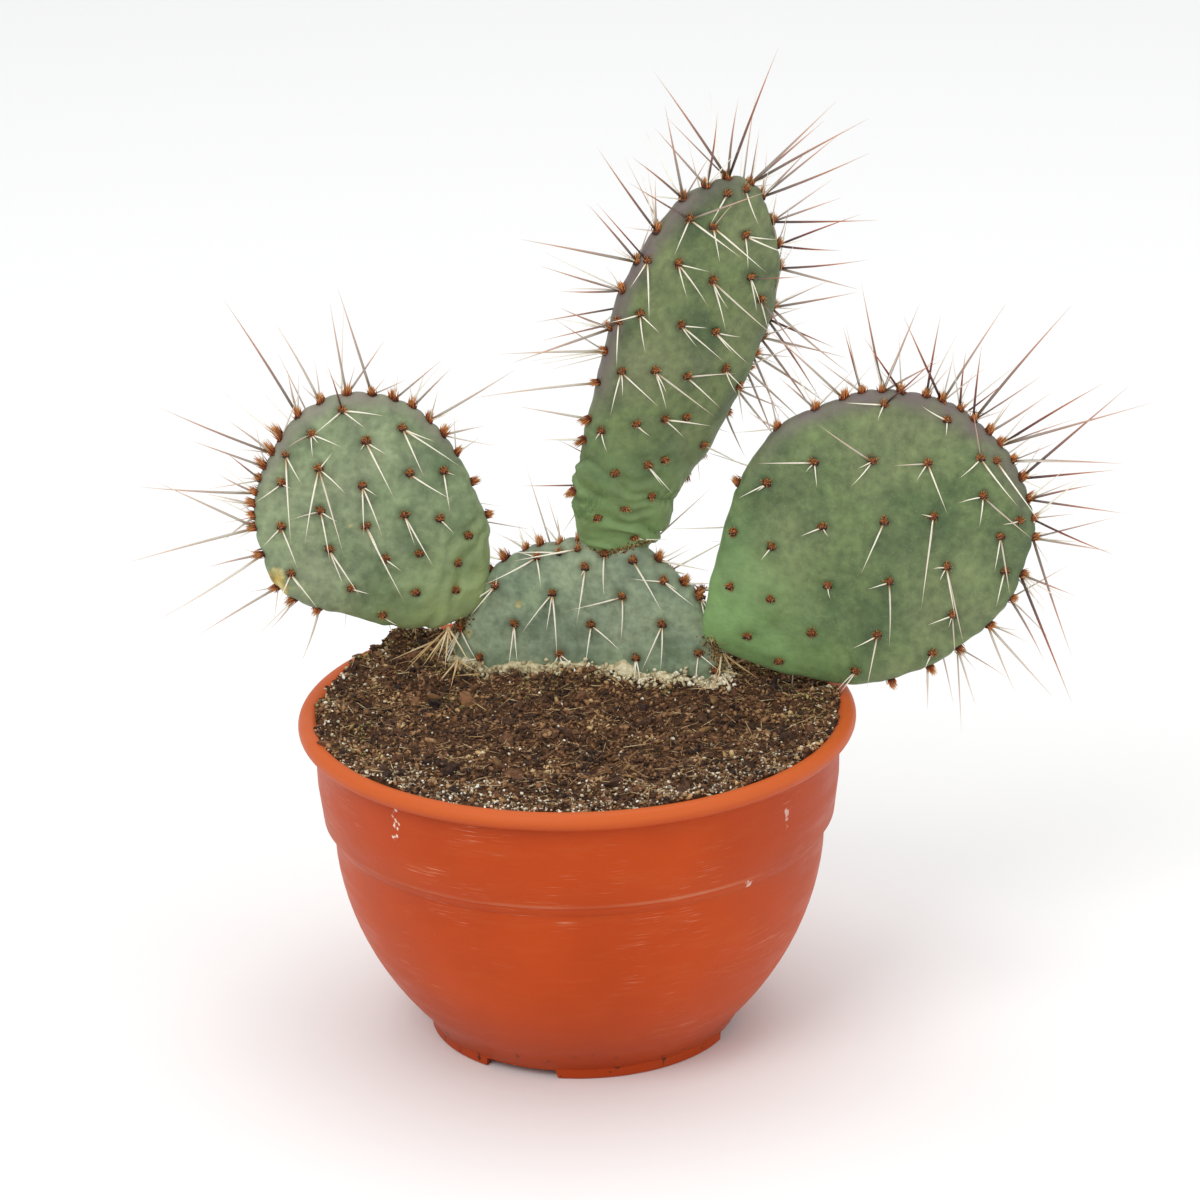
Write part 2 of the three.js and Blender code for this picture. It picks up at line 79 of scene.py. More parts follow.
# A pad's own frame has X across it, Z from base to tip and -Y out of its front. Each
# areole on its front has its place across and along the pad, then its spines: length,
# aim seen from the front, clockwise from straight up, and tone where it isn't ivory.
PADS = {
    "mother": {
        "centre": (4, 42, 152), "turn": (0, 0, -17), "base": 24, "tip": 19,
        "outline": [(5, 45), (22, 44), (40, 32), (53, 17), (60, -6), (57, -32), (38, -54),
                    (4, -64), (-30, -54), (-52, -34), (-59, -12), (-54, 8), (-42, 26),
                    (-24, 39)],
        "areoles": [
            (3, 35, [(23, 181), (4, 200)]), (36, 31, [(14, 266), (16, 132), (6, 120)]),
            (19, 24, [(23, 252), (18.5, 174)]), (-11, 23, [(21, 218), (16, 184), (25, 164)]),
            (51, 24, [(7, 107), (20, 160), (6, 125)]), (36, 13, [(21, 203), (19, 176)]),
            (6, 11, [(15, 184), (17, 118)]), (-28, 8, [(18, 180), (16, 168)]),
            (51, 1, [(15, 191), (10, 124)]), (25, -2, [(8, 187), (8, 172), (9, 155)]),
            (-8, -3, [(9, 208), (11, 157), (9, 112)]), (-44, -9, [(20, 219), (8, 263), (6, 176)]),
            (-19, 37, [(24, 223), (15, 152), (8, 290)]),
            (-37, 23, [(20, 228), (16, 209), (6, 32)]), (-1, 42, [(27, 243)]),
            (-9, 40, [(19, 262)]), (23, 39, [(25, 147)]), (11, 41, [(18, 175)]),
            (-53, 2, [(17, 130), (22, 187), (19, 198), (15, 205)]),
            (57, -7, [(15, 210), (7, 180)]),
        ],
    },
    "left": {
        "centre": (-84, 50, 209), "turn": (0, -38, 8), "base": 19, "tip": 14,
        "outline": [(2, 50), (20, 46), (34, 35), (42, 20), (43, -2), (38, -21), (31, -38),
                    (22, -52), (8, -61), (-7, -59), (-24, -45), (-40, -24), (-50, 0),
                    (-46, 16), (-32, 36), (-13, 46)],
        "areoles": [
            (3, 42, [(9, 180), (14, 111), (5, 140), (11, 252, 0.6)]),
            (19, 41, [(18, 98), (12, 132), (16, 230), (20, 348, 1)]),
            (-20, 34, [(13, 236), (5, 110)]),
            (-4, 29, [(9.5, 42), (31, 196), (35, 165, 0.3), (15, 126)]),
            (18, 25, [(25.5, 156), (10, 123), (4, 215)]),
            (33, 19, [(21, 163), (28, 126), (14, 117)]), (-32, 20, [(18, 156), (11, 228)]),
            (-15, 15, [(13, 263, 0.3), (21, 170), (8, 125)]),
            (5, 12, [(21, 181), (21, 158), (7, 125)]), (23, 3, [(20, 127)]),
            (-42, 2, [(18, 140), (7, 150), (13, 205)]), (-23, 0, [(22, 147), (16, 160)]),
            (-5, -2, [(35, 157), (13, 149)]), (34, -6, [(16, 180), (5, 105)]),
            (10, -9, [(25, 153), (12.6, 162)]), (-8, -18, [(7, 117)]), (-27, -19, [(8, 88)]),
            (20, -20, [(8, 135)]), (4, -26, []), (24, -34, []), (-25, -37, [(7, 128)]),
            (-8, -38, []), (13, -40, []), (5, -49, []), (-11, 42, [(37, 175), (14, 148)]),
        ],
    },
    "middle": {
        "centre": (46, 36, 281), "turn": (0, 20, 24), "base": 23, "tip": 15,
        "outline": [(2, 76), (13, 68), (25, 54), (32, 35), (34, 13), (31, -12), (27, -38),
                    (21, -60), (20, -78), (13, -89), (2, -93), (-10, -92), (-19, -84),
                    (-25, -65), (-29, -42), (-34, -6), (-36, 16), (-32, 42), (-23, 62),
                    (-10, 74)],
        "areoles": [
            (1, 73, [(15, 182)]),
            (-20, 57, [(15.6, 213), (26, 133), (32, 72, 0.7), (36, 308, 0.9)]),
            (-9, 56, [(14.6, 176), (28, 136), (12.7, 35, 0.6)]),
            (6, 55, [(14, 176), (19, 123), (14, 109)]),
            (-19, 38, [(13, 175), (20, 145), (13, 108)]),
            (15, 38, [(14, 175), (19, 97, 0.9), (9, 170)]),
            (-2, 34, [(21, 167), (32, 139, 0.3), (12, 165)]),
            (24, 29, [(15, 169), (30, 150, 0.8)]), (-28, 14, [(14, 266), (14.6, 182), (9, 130)]),
            (-9, 13, [(23.5, 134), (10, 153), (11, 99)]),
            (7, 13, [(20, 142), (9, 153), (11.5, 112)]), (17, -2, [(11, 168), (11, 143)]),
            (-14, -8, [(17, 163), (32, 132, 0.3), (8, 150)]),
            (1, -8, [(18.5, 136), (20, 88, 0.3)]), (28, -10, [(20, 160)]),
            (-27, -12, [(18, 199), (8, 175), (21, 133)]), (8, -26, []),
            (-2, -28, [(19, 98), (12, 132)]), (-14, -32, [(7, 138)]), (21, -37, [(20, 123)]),
            (-26, -39, [(8, 167), (4, 235)]), (5, -46, []), (-2, -49, [(17, 143), (8, 150)]),
            (-15, -55, []), (6, -63, []), (-4, -70, []), (-14, -77, []), (6, -83, [(14, 100)]),
            (-31.5, 36, [(32, 321, 1), (13, 213), (24, 175)]),
            (-34.5, 8, [(17, 175), (30, 263, 0.9)]), (-7, 70, [(15, 226)]),
        ],
    },
    "right": {
        "centre": (121, 19, 203), "turn": (0, 52, -6), "base": 21, "tip": 15,
        "outline": [(0, 66), (26, 63), (44, 50), (56, 28), (59, 2), (55, -24), (42, -47),
                    (24, -63), (4, -75), (-10, -79), (-24, -64), (-40, -44), (-53, -22),
                    (-59, 4), (-54, 25), (-40, 49), (-20, 62)],
        "areoles": [
            (1, 58, [(12, 227), (24, 148), (20, 350, 0.7)]), (-20, 57, [(13, 292), (7, 187)]),
            (14, 49, [(11, 266), (12, 186), (26, 133, 0.5)]),
            (32, 44, [(14, 193), (23, 173, 0.4)]), (-41, 41, [(17, 271), (8, 205), (30, 51, 1)]),
            (-11, 40, [(14, 271, 0.4), (8, 221), (21, 159)]),
            (8, 28, [(36, 189, 0.2), (6, 299), (9, 194)]),
            (-26, 23, [(27, 306, 0.5), (13, 215), (6, 250)]),
            (28, 19, [(6.6, 284), (6, 216), (19, 171), (31, 168, 0.4)]), (-3, 11, [(23, 205)]),
            (46, 8, [(11, 260), (5, 205), (17, 178, 0.5)]),
            (-40, 4, [(23, 272, 0.2), (10, 173), (5, 232)]), (18, -3, [(9, 261), (25, 176, 0.3)]),
            (54, -9, [(6, 235)]), (-17, -10, [(9.6, 253), (4, 150)]),
            (-45, -17, [(13, 243), (5, 225)]), (33, -21, [(11.5, 242), (21, 193, 0.3)]),
            (4, -24, [(5, 178)]), (-23, -32, [(6.6, 225)]),
            (40, -38, [(12, 232, 0.3), (12, 211)]), (-37, -41, []), (16, -42, []), (-6, -46, []),
            (-20, -56, []), (18, -61, []), (1, -64, []), (32, 54, [(9, 270)]),
            (6, 62, [(30, 151)]), (45, 36, [(14, 202)]),
        ],
    },
}
CROWNING = 2.6  # how square a pad's cross-section is: 2 is an ellipse
SKIN_VALUES = ("flush", "areole_shade", "scar", "age")  # what a pad's points say to its skin

# Areoles round the rims: place in degrees clockwise from the tip, then the length and
# the aim of each long spine there. The aim is measured like the place.
RIMS = {
    "mother": [
        (-56, []), (-46, [(16, -80)]), (-33, [(14, -50), (12, -15)]), (-25, [(10, -20)]),
        (-14, [(12, -30), (13, 4)]), (-3, [(11, 0)]), (40, [(15, 62), (22, 100)]),
        (56, [(14, 80)]), (64, []),
    ],
    "left": [
        (-113, [(26, -128)]), (-100, [(18, -110)]), (-90, [(38, -79)]),
        (-72, [(52, -86), (24, -60)]), (-58, [(56, -60), (49, -20)]), (-52, [(17, -80)]),
        (-46, [(20, -38)]), (-40, [(49, -49), (18, -30)]), (-33, [(20, -8)]),
        (-26, [(36, -25)]), (-18, [(54, -26), (26, -8)]), (-10, []), (4, [(57, 10), (20, 24)]),
        (16, [(40, 16)]), (29, [(41, 29), (28, 74)]), (41, [(50, 23)]), (52, [(26, 92)]),
        (62, [(24, 80)]), (73, [(42, 104)]), (84, [(18, 118)]), (97, []), (116, []),
        (134, []),
    ],
    "middle": [
        (-160, []), (-148, [(20, -100)]), (-141, [(36, -87)]), (-123, [(55, -106)]),
        (-101, [(51, -96)]), (-84, [(48, -113), (30, -80)]), (-60, [(40, -85), (26, -110)]),
        (-45, [(60, -85), (37, -55)]), (-32, [(51, -54), (22, -20)]),
        (-20, [(52, -36), (30, -62)]), (-12, [(40, -58), (34, -12)]),
        (-5, [(68, -9), (58, -50), (42, -25)]), (3, [(49, 24), (57, 49), (40, 36)]),
        (9, [(52, 64), (28, 30), (44, 44)]), (18, [(48, 80), (30, 50)]),
        (27, [(40, 62), (34, 92)]), (36, [(44, 96), (38, 74)]), (54, [(39, 71), (44, 118)]),
        (60, [(46, 128), (34, 100)]), (72, [(44, 92), (48, 126)]),
        (84, [(50, 108), (42, 134)]), (96, [(46, 118), (38, 140)]),
        (112, [(38, 126), (30, 108)]), (128, [(26, 140)]), (149, []),
        (157, []), (165, []),
    ],
    "right": [
        (-118, []), (-90, [(14, -120)]), (-73, [(20, -98)]), (-61, [(44, -96)]),
        (-54, [(30, -66)]), (-46, [(41, -30), (28, 7), (48, -62)]), (-39, [(30, -84)]),
        (-30, [(36, -44)]), (-24, [(41, -75), (49, -20)]), (-17, [(28, -50)]),
        (-11, [(64, -15), (34, -48)]), (-4, [(30, 10)]), (2, [(52, 3), (65, 20)]),
        (9, [(46, 34)]), (16, [(60, -4), (40, 30)]), (24, [(41, 44), (30, 20)]),
        (31, [(38, 62)]), (38, [(33, 46), (53, 112)]), (52, [(57, 106), (24, 60)]),
        (62, [(30, 96)]), (75, [(42, 88), (30, 108)]), (90, [(27, 112)]),
        (104, [(20, 128)]), (120, []),
    ],
}


# ---- Mesh helpers -----------------------------------------------------------------


def smooth_step(low, high, value):
    share = min(max((value - low) / (high - low), 0), 1)
    return share * share * (3 - 2 * share)


def finish_piece(name, bm, material, nodes, smooth=True):
    """Makes a piece from a bmesh drawn in millimetres round the pot's axis."""
    bmesh.ops.transform(bm, matrix=TO_FRAME, verts=bm.verts)
    mesh = bpy.data.meshes.new(name)
    bm.to_mesh(mesh)
    bm.free()
    return stand_in(name, mesh, material, nodes, smooth)


def stand_in(name, mesh, material, nodes, smooth=True):
    mesh.polygons.foreach_set("use_smooth", [smooth] * len(mesh.polygons))
    mesh.materials.append(material)
    piece = bpy.data.objects.new(name, mesh)
    bpy.context.scene.collection.objects.link(piece)
    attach(piece, "root")
    if nodes:
        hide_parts(*nodes)
    return piece


def turned(profile, steps):
    """A bmesh of [radius, height] points turned once round the Z axis."""
    bm = bmesh.new()
    verts = [bm.verts.new((r, 0, z)) for r, z in profile]
    edges = [bm.edges.new(pair) for pair in zip(verts, verts[1:])]
    bmesh.ops.spin(bm, geom=verts + edges, cent=(0, 0, 0), axis=(0, 0, 1),
                   angle=math.tau, steps=steps, use_merge=True)
    bmesh.ops.remove_doubles(bm, verts=bm.verts, dist=1e-4)
    bmesh.ops.recalc_face_normals(bm, faces=bm.faces)
    return bm


def scatter(name, shapes, placed, material, nodes, smooth=True):
    """One mesh of many copies of small shapes.

    placed is a list of (shape number, matrix in millimetres, tone). The copies keep two
    values on their points: how far along the shape they are, and the copy's tone.
    """
    points, faces, along, tones = [], [], [], []
    start = 0
    for kind, matrix, tone in placed:
        local, polygons = shapes[kind]
        turn = np.array(TO_FRAME @ matrix)
        points.append(local @ turn[:3, :3].T + turn[:3, 3])
        faces.extend([[start + i for i in face] for face in polygons])
        along.append(local[:, 2])
        tones.append(np.full(len(local), tone))
        start += len(local)
    mesh = bpy.data.meshes.new(name)
    mesh.from_pydata(np.concatenate(points).tolist(), [], faces)
    for label, values in (("along", along), ("tone", tones)):
        layer = mesh.attributes.new(label, "FLOAT", "POINT")
        layer.data.foreach_set("value", np.concatenate(values).astype(np.float32))
    return stand_in(name, mesh, material, nodes, smooth)


def as_shape(bm):
    """A bmesh as (points, faces), ready to be scattered."""
    bm.verts.ensure_lookup_table()
    points = np.array([v.co[:] for v in bm.verts])
    faces = [[v.index for v in face.verts] for face in bm.faces]
    bm.free()
    return points, faces


def needle(sides, rings, bend):
    """A tapered needle of unit length and unit base radius, bent to one side."""
    bm = bmesh.new()
    bmesh.ops.create_cone(bm, cap_ends=True, segments=sides, radius1=1, radius2=0.04, depth=1)
    bmesh.ops.translate(bm, vec=(0, 0, 0.5), verts=bm.verts)
    for ring in range(1, rings):
        bmesh.ops.bisect_plane(bm, geom=bm.verts[:] + bm.edges[:] + bm.faces[:],
                               plane_co=(0, 0, ring / rings), plane_no=(0, 0, 1))
    for vert in bm.verts:
        share = vert.co.z
        fuller = 1 + 0.45 * math.sin(math.pi * share)
        vert.co.x = vert.co.x * fuller + bend * share * share
        vert.co.y *= fuller
    return as_shape(bm)


def crumb(subdivisions, rough, seed):
    """A rough lump of about unit radius."""
    bm = bmesh.new()
    bmesh.ops.create_icosphere(bm, subdivisions=subdivisions, radius=1)
    offset = Vector((seed * 7.3, seed * 3.1, 0))
    for vert in bm.verts:
        vert.co *= 1 + rough * noise.noise(vert.co * 1.7 + offset)
    bmesh.ops.scale(bm, vec=(1.15, 0.9, 0.8), verts=bm.verts)
    return as_shape(bm)


def placement(at, direction, width, length, spin=0.0):
    """Puts a shape drawn along Z at a point, aimed in a direction."""
    turn = direction.to_track_quat("Z", "X").to_matrix().to_4x4()
    scale = Matrix.Diagonal((width, width, length, 1))
    return Matrix.Translation(at) @ turn @ Matrix.Rotation(spin, 4, "Z") @ scale


# ---- Materials --------------------------------------------------------------------


def linear(code):
    """An sRGB hex colour as a linear one."""
    channels = [int(code[i:i + 2], 16) / 255 for i in (1, 3, 5)]
    return (*[c / 12.92 if c <= 0.04045 else ((c + 0.055) / 1.055) ** 2.4 for c in channels], 1)


def add(tree, kind, inputs=(), **settings):
    """Adds a shader node, with its settings, and a value or a link for each named input."""
    node = tree.nodes.new("ShaderNode" + kind)
    for key, value in settings.items():
        setattr(node, key, value)
    for key, value in dict(inputs).items():
        if isinstance(value, bpy.types.NodeSocket):
            tree.links.new(value, node.inputs[key])
        else:
            node.inputs[key].default_value = value
    return node


def set_ramp(node, stops):
    """Gives a colour ramp its stops: (place, hex colour)."""
    elements = node.color_ramp.elements
    while len(elements) < len(stops):
        elements.new(0.5)
    for element, (place, code) in zip(elements, stops):
        element.position = place
        element.color = linear(code)
    return node.outputs["Color"]


def new_material(name, roughness, ior, **uniform):
    """A material with its shader's uniform values set: (material, tree, shader, position)."""
    material = bpy.data.materials.new(name)
    material.use_nodes = True
    tree = material.node_tree
    shader = tree.nodes["Principled BSDF"]
    shader.inputs["Roughness"].default_value = roughness
    shader.inputs["IOR"].default_value = ior
    for key, value in uniform.items():
        shader.inputs[key.replace("_", " ")].default_value = value
    return material, tree, shader, add(tree, "TexCoord").outputs["Object"]


def per_metre(size):
    """The scale that gives a pattern a given size in millimetres."""
    return 1 / (size * MM)


def scuffed(tree, where, body):
    """The pot's colour with its pale, ragged scuffs, each about 3 mm wide."""
    for (x, y, z), long, strength in SCUFFS:
        middle = (AXIS.x + x * MM, AXIS.y + y * MM, z * MM)
        moved = add(tree, "VectorMath", {0: where, 1: middle}, operation="SUBTRACT").outputs[0]
        shaped = add(tree, "Mapping", {"Vector": moved, "Scale": (1, 1, 3.0 / long)}).outputs[0]
        ragged = add(tree, "TexNoise", {"Vector": where, "Scale": per_metre(2.4), "Detail": 5})
        away = add(tree, "VectorMath", {0: shaped}, operation="LENGTH").outputs["Value"]
        close = add(tree, "MapRange", {0: away, 1: 0.0036, 2: 0.0, 3: 0, 4: 0.5}).outputs[0]
        grown = add(tree, "Math", {0: close, 1: ragged.outputs[0]}, operation="ADD").outputs[0]
        mark = add(tree, "MapRange", {0: grown, 1: 0.78, 2: 0.86, 3: 0, 4: strength}).outputs[0]
        body = add(tree, "Mix", {0: mark, 6: body, 7: linear("#EAD9CC")},
                   data_type="RGBA").outputs[2]
    return body


def polypropylene():
    """Injection-moulded polypropylene, dyed terracotta: satin, dulled by a chalky film that
    lies in level streaks, with pale scuffs and specks of dirt at the foot."""
    material, tree, shader, where = new_material(
        "terracotta_polypropylene", 0.45, 1.49, Sheen_Weight=0.05, Sheen_Roughness=0.4,
        Sheen_Tint=linear("#E0A070"), Specular_IOR_Level=0.2)
    height = add(tree, "SeparateXYZ", {0: where}).outputs["Z"]
    cloud = add(tree, "TexNoise", {"Vector": where, "Scale": per_metre(70), "Detail": 3})
    body = set_ramp(add(tree, "ValToRGB", {0: cloud.outputs[0]}),
                    [(0.35, "#AA3A03"), (0.65, "#B84205")])
    level = add(tree, "Mapping", {"Vector": where, "Scale": (1, 1, 5)}).outputs[0]
    streak = add(tree, "TexNoise", {"Vector": level, "Scale": per_metre(30), "Detail": 8,
                                    "Roughness": 0.66})
    film = add(tree, "MapRange", {0: streak.outputs[0], 1: 0.5, 2: 0.8, 3: 0, 4: 0.13})
    body = add(tree, "Mix", {0: film.outputs[0], 6: body, 7: linear("#C27C4C")},
               data_type="RGBA").outputs[2]
    # a pale line on the edge under the band: partly chalk settled there, partly a painted highlight
    # where the edge catches the light
    ledge_chalk_and_highlight = add(tree, "Math", {0: height, 1: BAND[0][1] * MM}, operation="SUBTRACT").outputs[0]
    ledge_chalk_and_highlight = add(tree, "Math", {0: ledge_chalk_and_highlight}, operation="ABSOLUTE").outputs[0]
    ledge_chalk_and_highlight = add(tree, "MapRange", {0: ledge_chalk_and_highlight, 1: 0.0013, 2: 0.0005}).outputs[0]
    chalk_and_highlight_patches = add(tree, "MapRange", {0: cloud.outputs[0], 1: 0.42, 2: 0.66, 3: 0.0, 4: 0.32})
    ledge_chalk_and_highlight = add(tree, "Math", {0: ledge_chalk_and_highlight, 1: chalk_and_highlight_patches.outputs[0]}, operation="MULTIPLY").outputs[0]
    body = add(tree, "Mix", {0: ledge_chalk_and_highlight, 6: body, 7: linear("#D3A180")},
               data_type="RGBA").outputs[2]
    # fine level scratches, about half a millimetre wide
    thin = add(tree, "Mapping", {"Vector": where, "Scale": (1, 1, 34)}).outputs[0]
    scratch = add(tree, "TexNoise", {"Vector": thin, "Scale": per_metre(13), "Detail": 5})
    patch = add(tree, "TexNoise", {"Vector": where, "Scale": per_metre(30), "Detail": 2})
    worn = add(tree, "MapRange", {0: patch.outputs[0], 1: 0.52, 2: 0.64}).outputs[0]
    lines = add(tree, "MapRange", {0: scratch.outputs[0], 1: 0.6, 2: 0.72}).outputs[0]
    lines = add(tree, "Math", {0: lines, 1: worn}, operation="MULTIPLY").outputs[0]
    lines = add(tree, "Math", {0: lines, 1: 0.5}, operation="MULTIPLY").outputs[0]
    body = add(tree, "Mix", {0: lines, 6: body, 7: linear("#E0A486")}, data_type="RGBA").outputs[2]
    # painted light: the rim, on top, is painted brighter than the wall, where the bead catches the
    # light
    rim = add(tree, "MapRange", {0: height, 1: (RIM_TOP - 7) * MM, 2: (RIM_TOP - 3) * MM})
    body = add(tree, "Mix", {0: rim.outputs[0], 6: body, 7: linear("#C45A26")},
               data_type="RGBA").outputs[2]
    # the lower bowl is a little darker, with dirt specks about 2 mm wide on the foot
    low = add(tree, "MapRange", {0: height, 1: 0.03, 2: 0.0}).outputs[0]
    low = add(tree, "Math", {0: low, 1: 0.5}, operation="MULTIPLY").outputs[0]
    body = add(tree, "Mix", {0: low, 6: body, 7: linear("#9A350E")}, data_type="RGBA").outputs[2]
    specks = add(tree, "TexNoise", {"Vector": where, "Scale": per_metre(4), "Detail": 2})
    dark = add(tree, "MapRange", {0: specks.outputs[0], 1: 0.66, 2: 0.7}).outputs[0]
    near = add(tree, "MapRange", {0: height, 1: 0.02, 2: 0.003}).outputs[0]
    dark = add(tree, "Math", {0: dark, 1: near}, operation="MULTIPLY").outputs[0]
    body = add(tree, "Mix", {0: dark, 6: body, 7: linear("#4A2416")}, data_type="RGBA").outputs[2]
    body = scuffed(tree, where, body)
    tree.links.new(body, shader.inputs["Base Color"])
    rough = add(tree, "MapRange", {0: streak.outputs[0], 1: 0.3, 2: 0.8, 3: 0.36, 4: 0.6})
    tree.links.new(rough.outputs[0], shader.inputs["Roughness"])
    # a moulded skin with a grain of about 1 mm, and the scratches
    grain = add(tree, "TexNoise", {"Vector": where, "Scale": per_metre(1.6), "Detail": 3})
    bump = add(tree, "Bump", {"Strength": 0.12, "Distance": 0.0004, "Height": grain.outputs[0]})
    bump = add(tree, "Bump", {"Strength": 0.25, "Distance": 0.0003, "Height": scratch.outputs[0],
                              "Normal": bump.outputs[0]})
    tree.links.new(bump.outputs[0], shader.inputs["Normal"])
    return material


def pad_skin(name, leaf, deep, bloom, flush, aged):
    """A cactus pad's skin: a hard, waxy cuticle over green tissue. It is satin, clouded by
    a pale bloom, finely speckled, and flushed purple where the sun strikes it."""
    material, tree, shader, where = new_material(
        name, 0.5, 1.45, Sheen_Weight=0.12, Sheen_Roughness=0.5, Sheen_Tint=linear("#C9D6C4"))
    shader.inputs["Specular IOR Level"].default_value = 0.42
    layer = {label: add(tree, "Attribute", attribute_name=label).outputs["Fac"]
             for label in SKIN_VALUES}
    cloud = add(tree, "TexNoise", {"Vector": where, "Scale": per_metre(22), "Detail": 5,
                                   "Roughness": 0.6})
    body = set_ramp(add(tree, "ValToRGB", {0: cloud.outputs[0]}), [(0.4, deep), (0.58, leaf)])
    haze = add(tree, "TexNoise", {"Vector": where, "Scale": per_metre(48), "Detail": 4})
    haze = add(tree, "MapRange", {0: haze.outputs[0], 1: 0.42, 2: 0.72, 3: 0, 4: 0.55})
    body = add(tree, "Mix", {0: haze.outputs[0], 6: body, 7: linear(bloom)},
               data_type="RGBA").outputs[2]
    mottle = add(tree, "TexNoise", {"Vector": where, "Scale": per_metre(3.4), "Detail": 4})
    shade = add(tree, "MapRange", {0: mottle.outputs[0], 1: 0.3, 2: 0.7, 3: 0.76, 4: 1.2})
    body = add(tree, "VectorMath", {0: body, "Scale": shade.outputs[0]},
               operation="SCALE").outputs[0]
    # pale pores, under a millimetre wide
    pores = add(tree, "TexVoronoi", {"Vector": where, "Scale": per_metre(1.5)})
    pore = add(tree, "MapRange", {0: pores.outputs[0], 1: 0.24, 2: 0.1, 3: 0, 4: 0.13})
    body = add(tree, "Mix", {0: pore.outputs[0], 6: body, 7: linear("#B4C0A0")},
               data_type="RGBA").outputs[2]
    # painted shade: the skin is darkened in the dip round each areole
    areole_shade = add(tree, "Math", {0: layer["areole_shade"], 1: 0.6}, operation="MULTIPLY").outputs[0]
    body = add(tree, "Mix", {0: areole_shade, 6: body, 7: linear("#33482F")}, data_type="RGBA").outputs[2]
    ragged = add(tree, "TexNoise", {"Vector": where, "Scale": per_metre(9), "Detail": 5})
    ragged = add(tree, "MapRange", {0: ragged.outputs[0], 1: 0.3, 2: 0.7, 3: 0.55, 4: 1.3})
    blush = add(tree, "Math", {0: layer["flush"], 1: ragged.outputs[0]}, operation="MULTIPLY",
                use_clamp=True).outputs[0]
    body = add(tree, "Mix", {0: blush, 6: body, 7: linear(flush)}, data_type="RGBA").outputs[2]
    old = add(tree, "Math", {0: layer["age"], 1: ragged.outputs[0]}, operation="MULTIPLY",
              use_clamp=True).outputs[0]
    body = add(tree, "Mix", {0: old, 6: body, 7: linear(aged)}, data_type="RGBA").outputs[2]
    # corky scars
    cork = add(tree, "TexNoise", {"Vector": where, "Scale": per_metre(5), "Detail": 6})
    edge = add(tree, "Math", {0: cork.outputs[0], 1: layer["scar"]}, operation="ADD").outputs[0]
    mark = add(tree, "MapRange", {0: edge, 1: 0.86, 2: 1.1}).outputs[0]
    tan = set_ramp(add(tree, "ValToRGB", {0: cork.outputs[0]}),
                   [(0.35, "#86652F"), (0.5, "#B39C4A"), (0.66, "#CBBC7E")])
    body = add(tree, "Mix", {0: mark, 6: body, 7: tan}, data_type="RGBA").outputs[2]
    tree.links.new(body, shader.inputs["Base Color"])
    rough = add(tree, "MapRange", {0: mottle.outputs[0], 1: 0.3, 2: 0.7, 3: 0.42, 4: 0.6})
    tree.links.new(rough.outputs[0], shader.inputs["Roughness"])
    bump = add(tree, "Bump", {"Strength": 0.45, "Distance": 0.0009, "Height": mottle.outputs[0]})
    bump = add(tree, "Bump", {"Strength": 0.2, "Distance": 0.0003, "Height": pores.outputs[0],
                              "Normal": bump.outputs[0]})
    tree.links.new(bump.outputs[0], shader.inputs["Normal"])
    return material


def horn(name):
    """Cactus spine: dead, hard, horny tissue, smooth and faintly glossy. The tone goes from
    0, ivory on a brown foot, to 1, dark red-brown that pales to the tip."""
    material, tree, shader, _ = new_material(name, 0.42, 1.54)
    along = add(tree, "Attribute", attribute_name="along").outputs["Fac"]
    tone = add(tree, "Attribute", attribute_name="tone").outputs["Fac"]
    ivory = set_ramp(add(tree, "ValToRGB", {0: along}),
                     [(0.0, "#7A4826"), (0.07, "#CDB184"), (0.2, "#F6F0DC"), (0.8, "#F5EFDC"),
                      (1.0, "#CDAE7E")])
    russet = set_ramp(add(tree, "ValToRGB", {0: along}),
                      [(0.0, "#26110F"), (0.2, "#421C16"), (0.45, "#7E3A22"), (0.72, "#B86C40"),
                       (1.0, "#CDB79C")])
    colour = add(tree, "Mix", {0: tone, 6: ivory, 7: russet}, data_type="RGBA").outputs[2]
    tree.links.new(colour, shader.inputs["Base Color"])
    return material


def bristle(name):
    """Glochids: dense rust-brown barbed bristles, dry and matt, paler at their tips."""
    material, tree, shader, _ = new_material(name, 0.7, 1.5)
    along = add(tree, "Attribute", attribute_name="along").outputs["Fac"]
    tone = add(tree, "Attribute", attribute_name="tone").outputs["Fac"]
    colour = set_ramp(add(tree, "ValToRGB", {0: along}),
                      [(0.0, "#48200F"), (0.4, "#994A1D"), (0.8, "#C98442"), (1.0, "#E0BC86")])
    shade = add(tree, "MapRange", {0: tone, 1: 0, 2: 1, 3: 0.4, 4: 1.4}).outputs[0]
    colour = add(tree, "VectorMath", {0: colour, "Scale": shade}, operation="SCALE").outputs[0]
    tree.links.new(colour, shader.inputs["Base Color"])
    return material


def loose(name, roughness, stops, grain, ior=1.5):
    """Dry loose stuff, such as peat crumbs, grit or straw: matt, each piece its own tone,
    with a grain of a given size in millimetres."""
    material, tree, shader, where = new_material(name, roughness, ior)
    tone = add(tree, "Attribute", attribute_name="tone").outputs["Fac"]
    noisy = add(tree, "TexNoise", {"Vector": where, "Scale": per_metre(grain), "Detail": 4})
    shift = add(tree, "MapRange", {0: noisy.outputs[0], 1: 0.2, 2: 0.8, 3: -0.22, 4: 0.22})
    place = add(tree, "Math", {0: tone, 1: shift.outputs[0]}, operation="ADD").outputs[0]
    colour = set_ramp(add(tree, "ValToRGB", {0: place}), stops)
    tree.links.new(colour, shader.inputs["Base Color"])
    bump = add(tree, "Bump", {"Strength": 0.5, "Distance": 0.0005, "Height": noisy.outputs[0]})
    tree.links.new(bump.outputs[0], shader.inputs["Normal"])
    return material


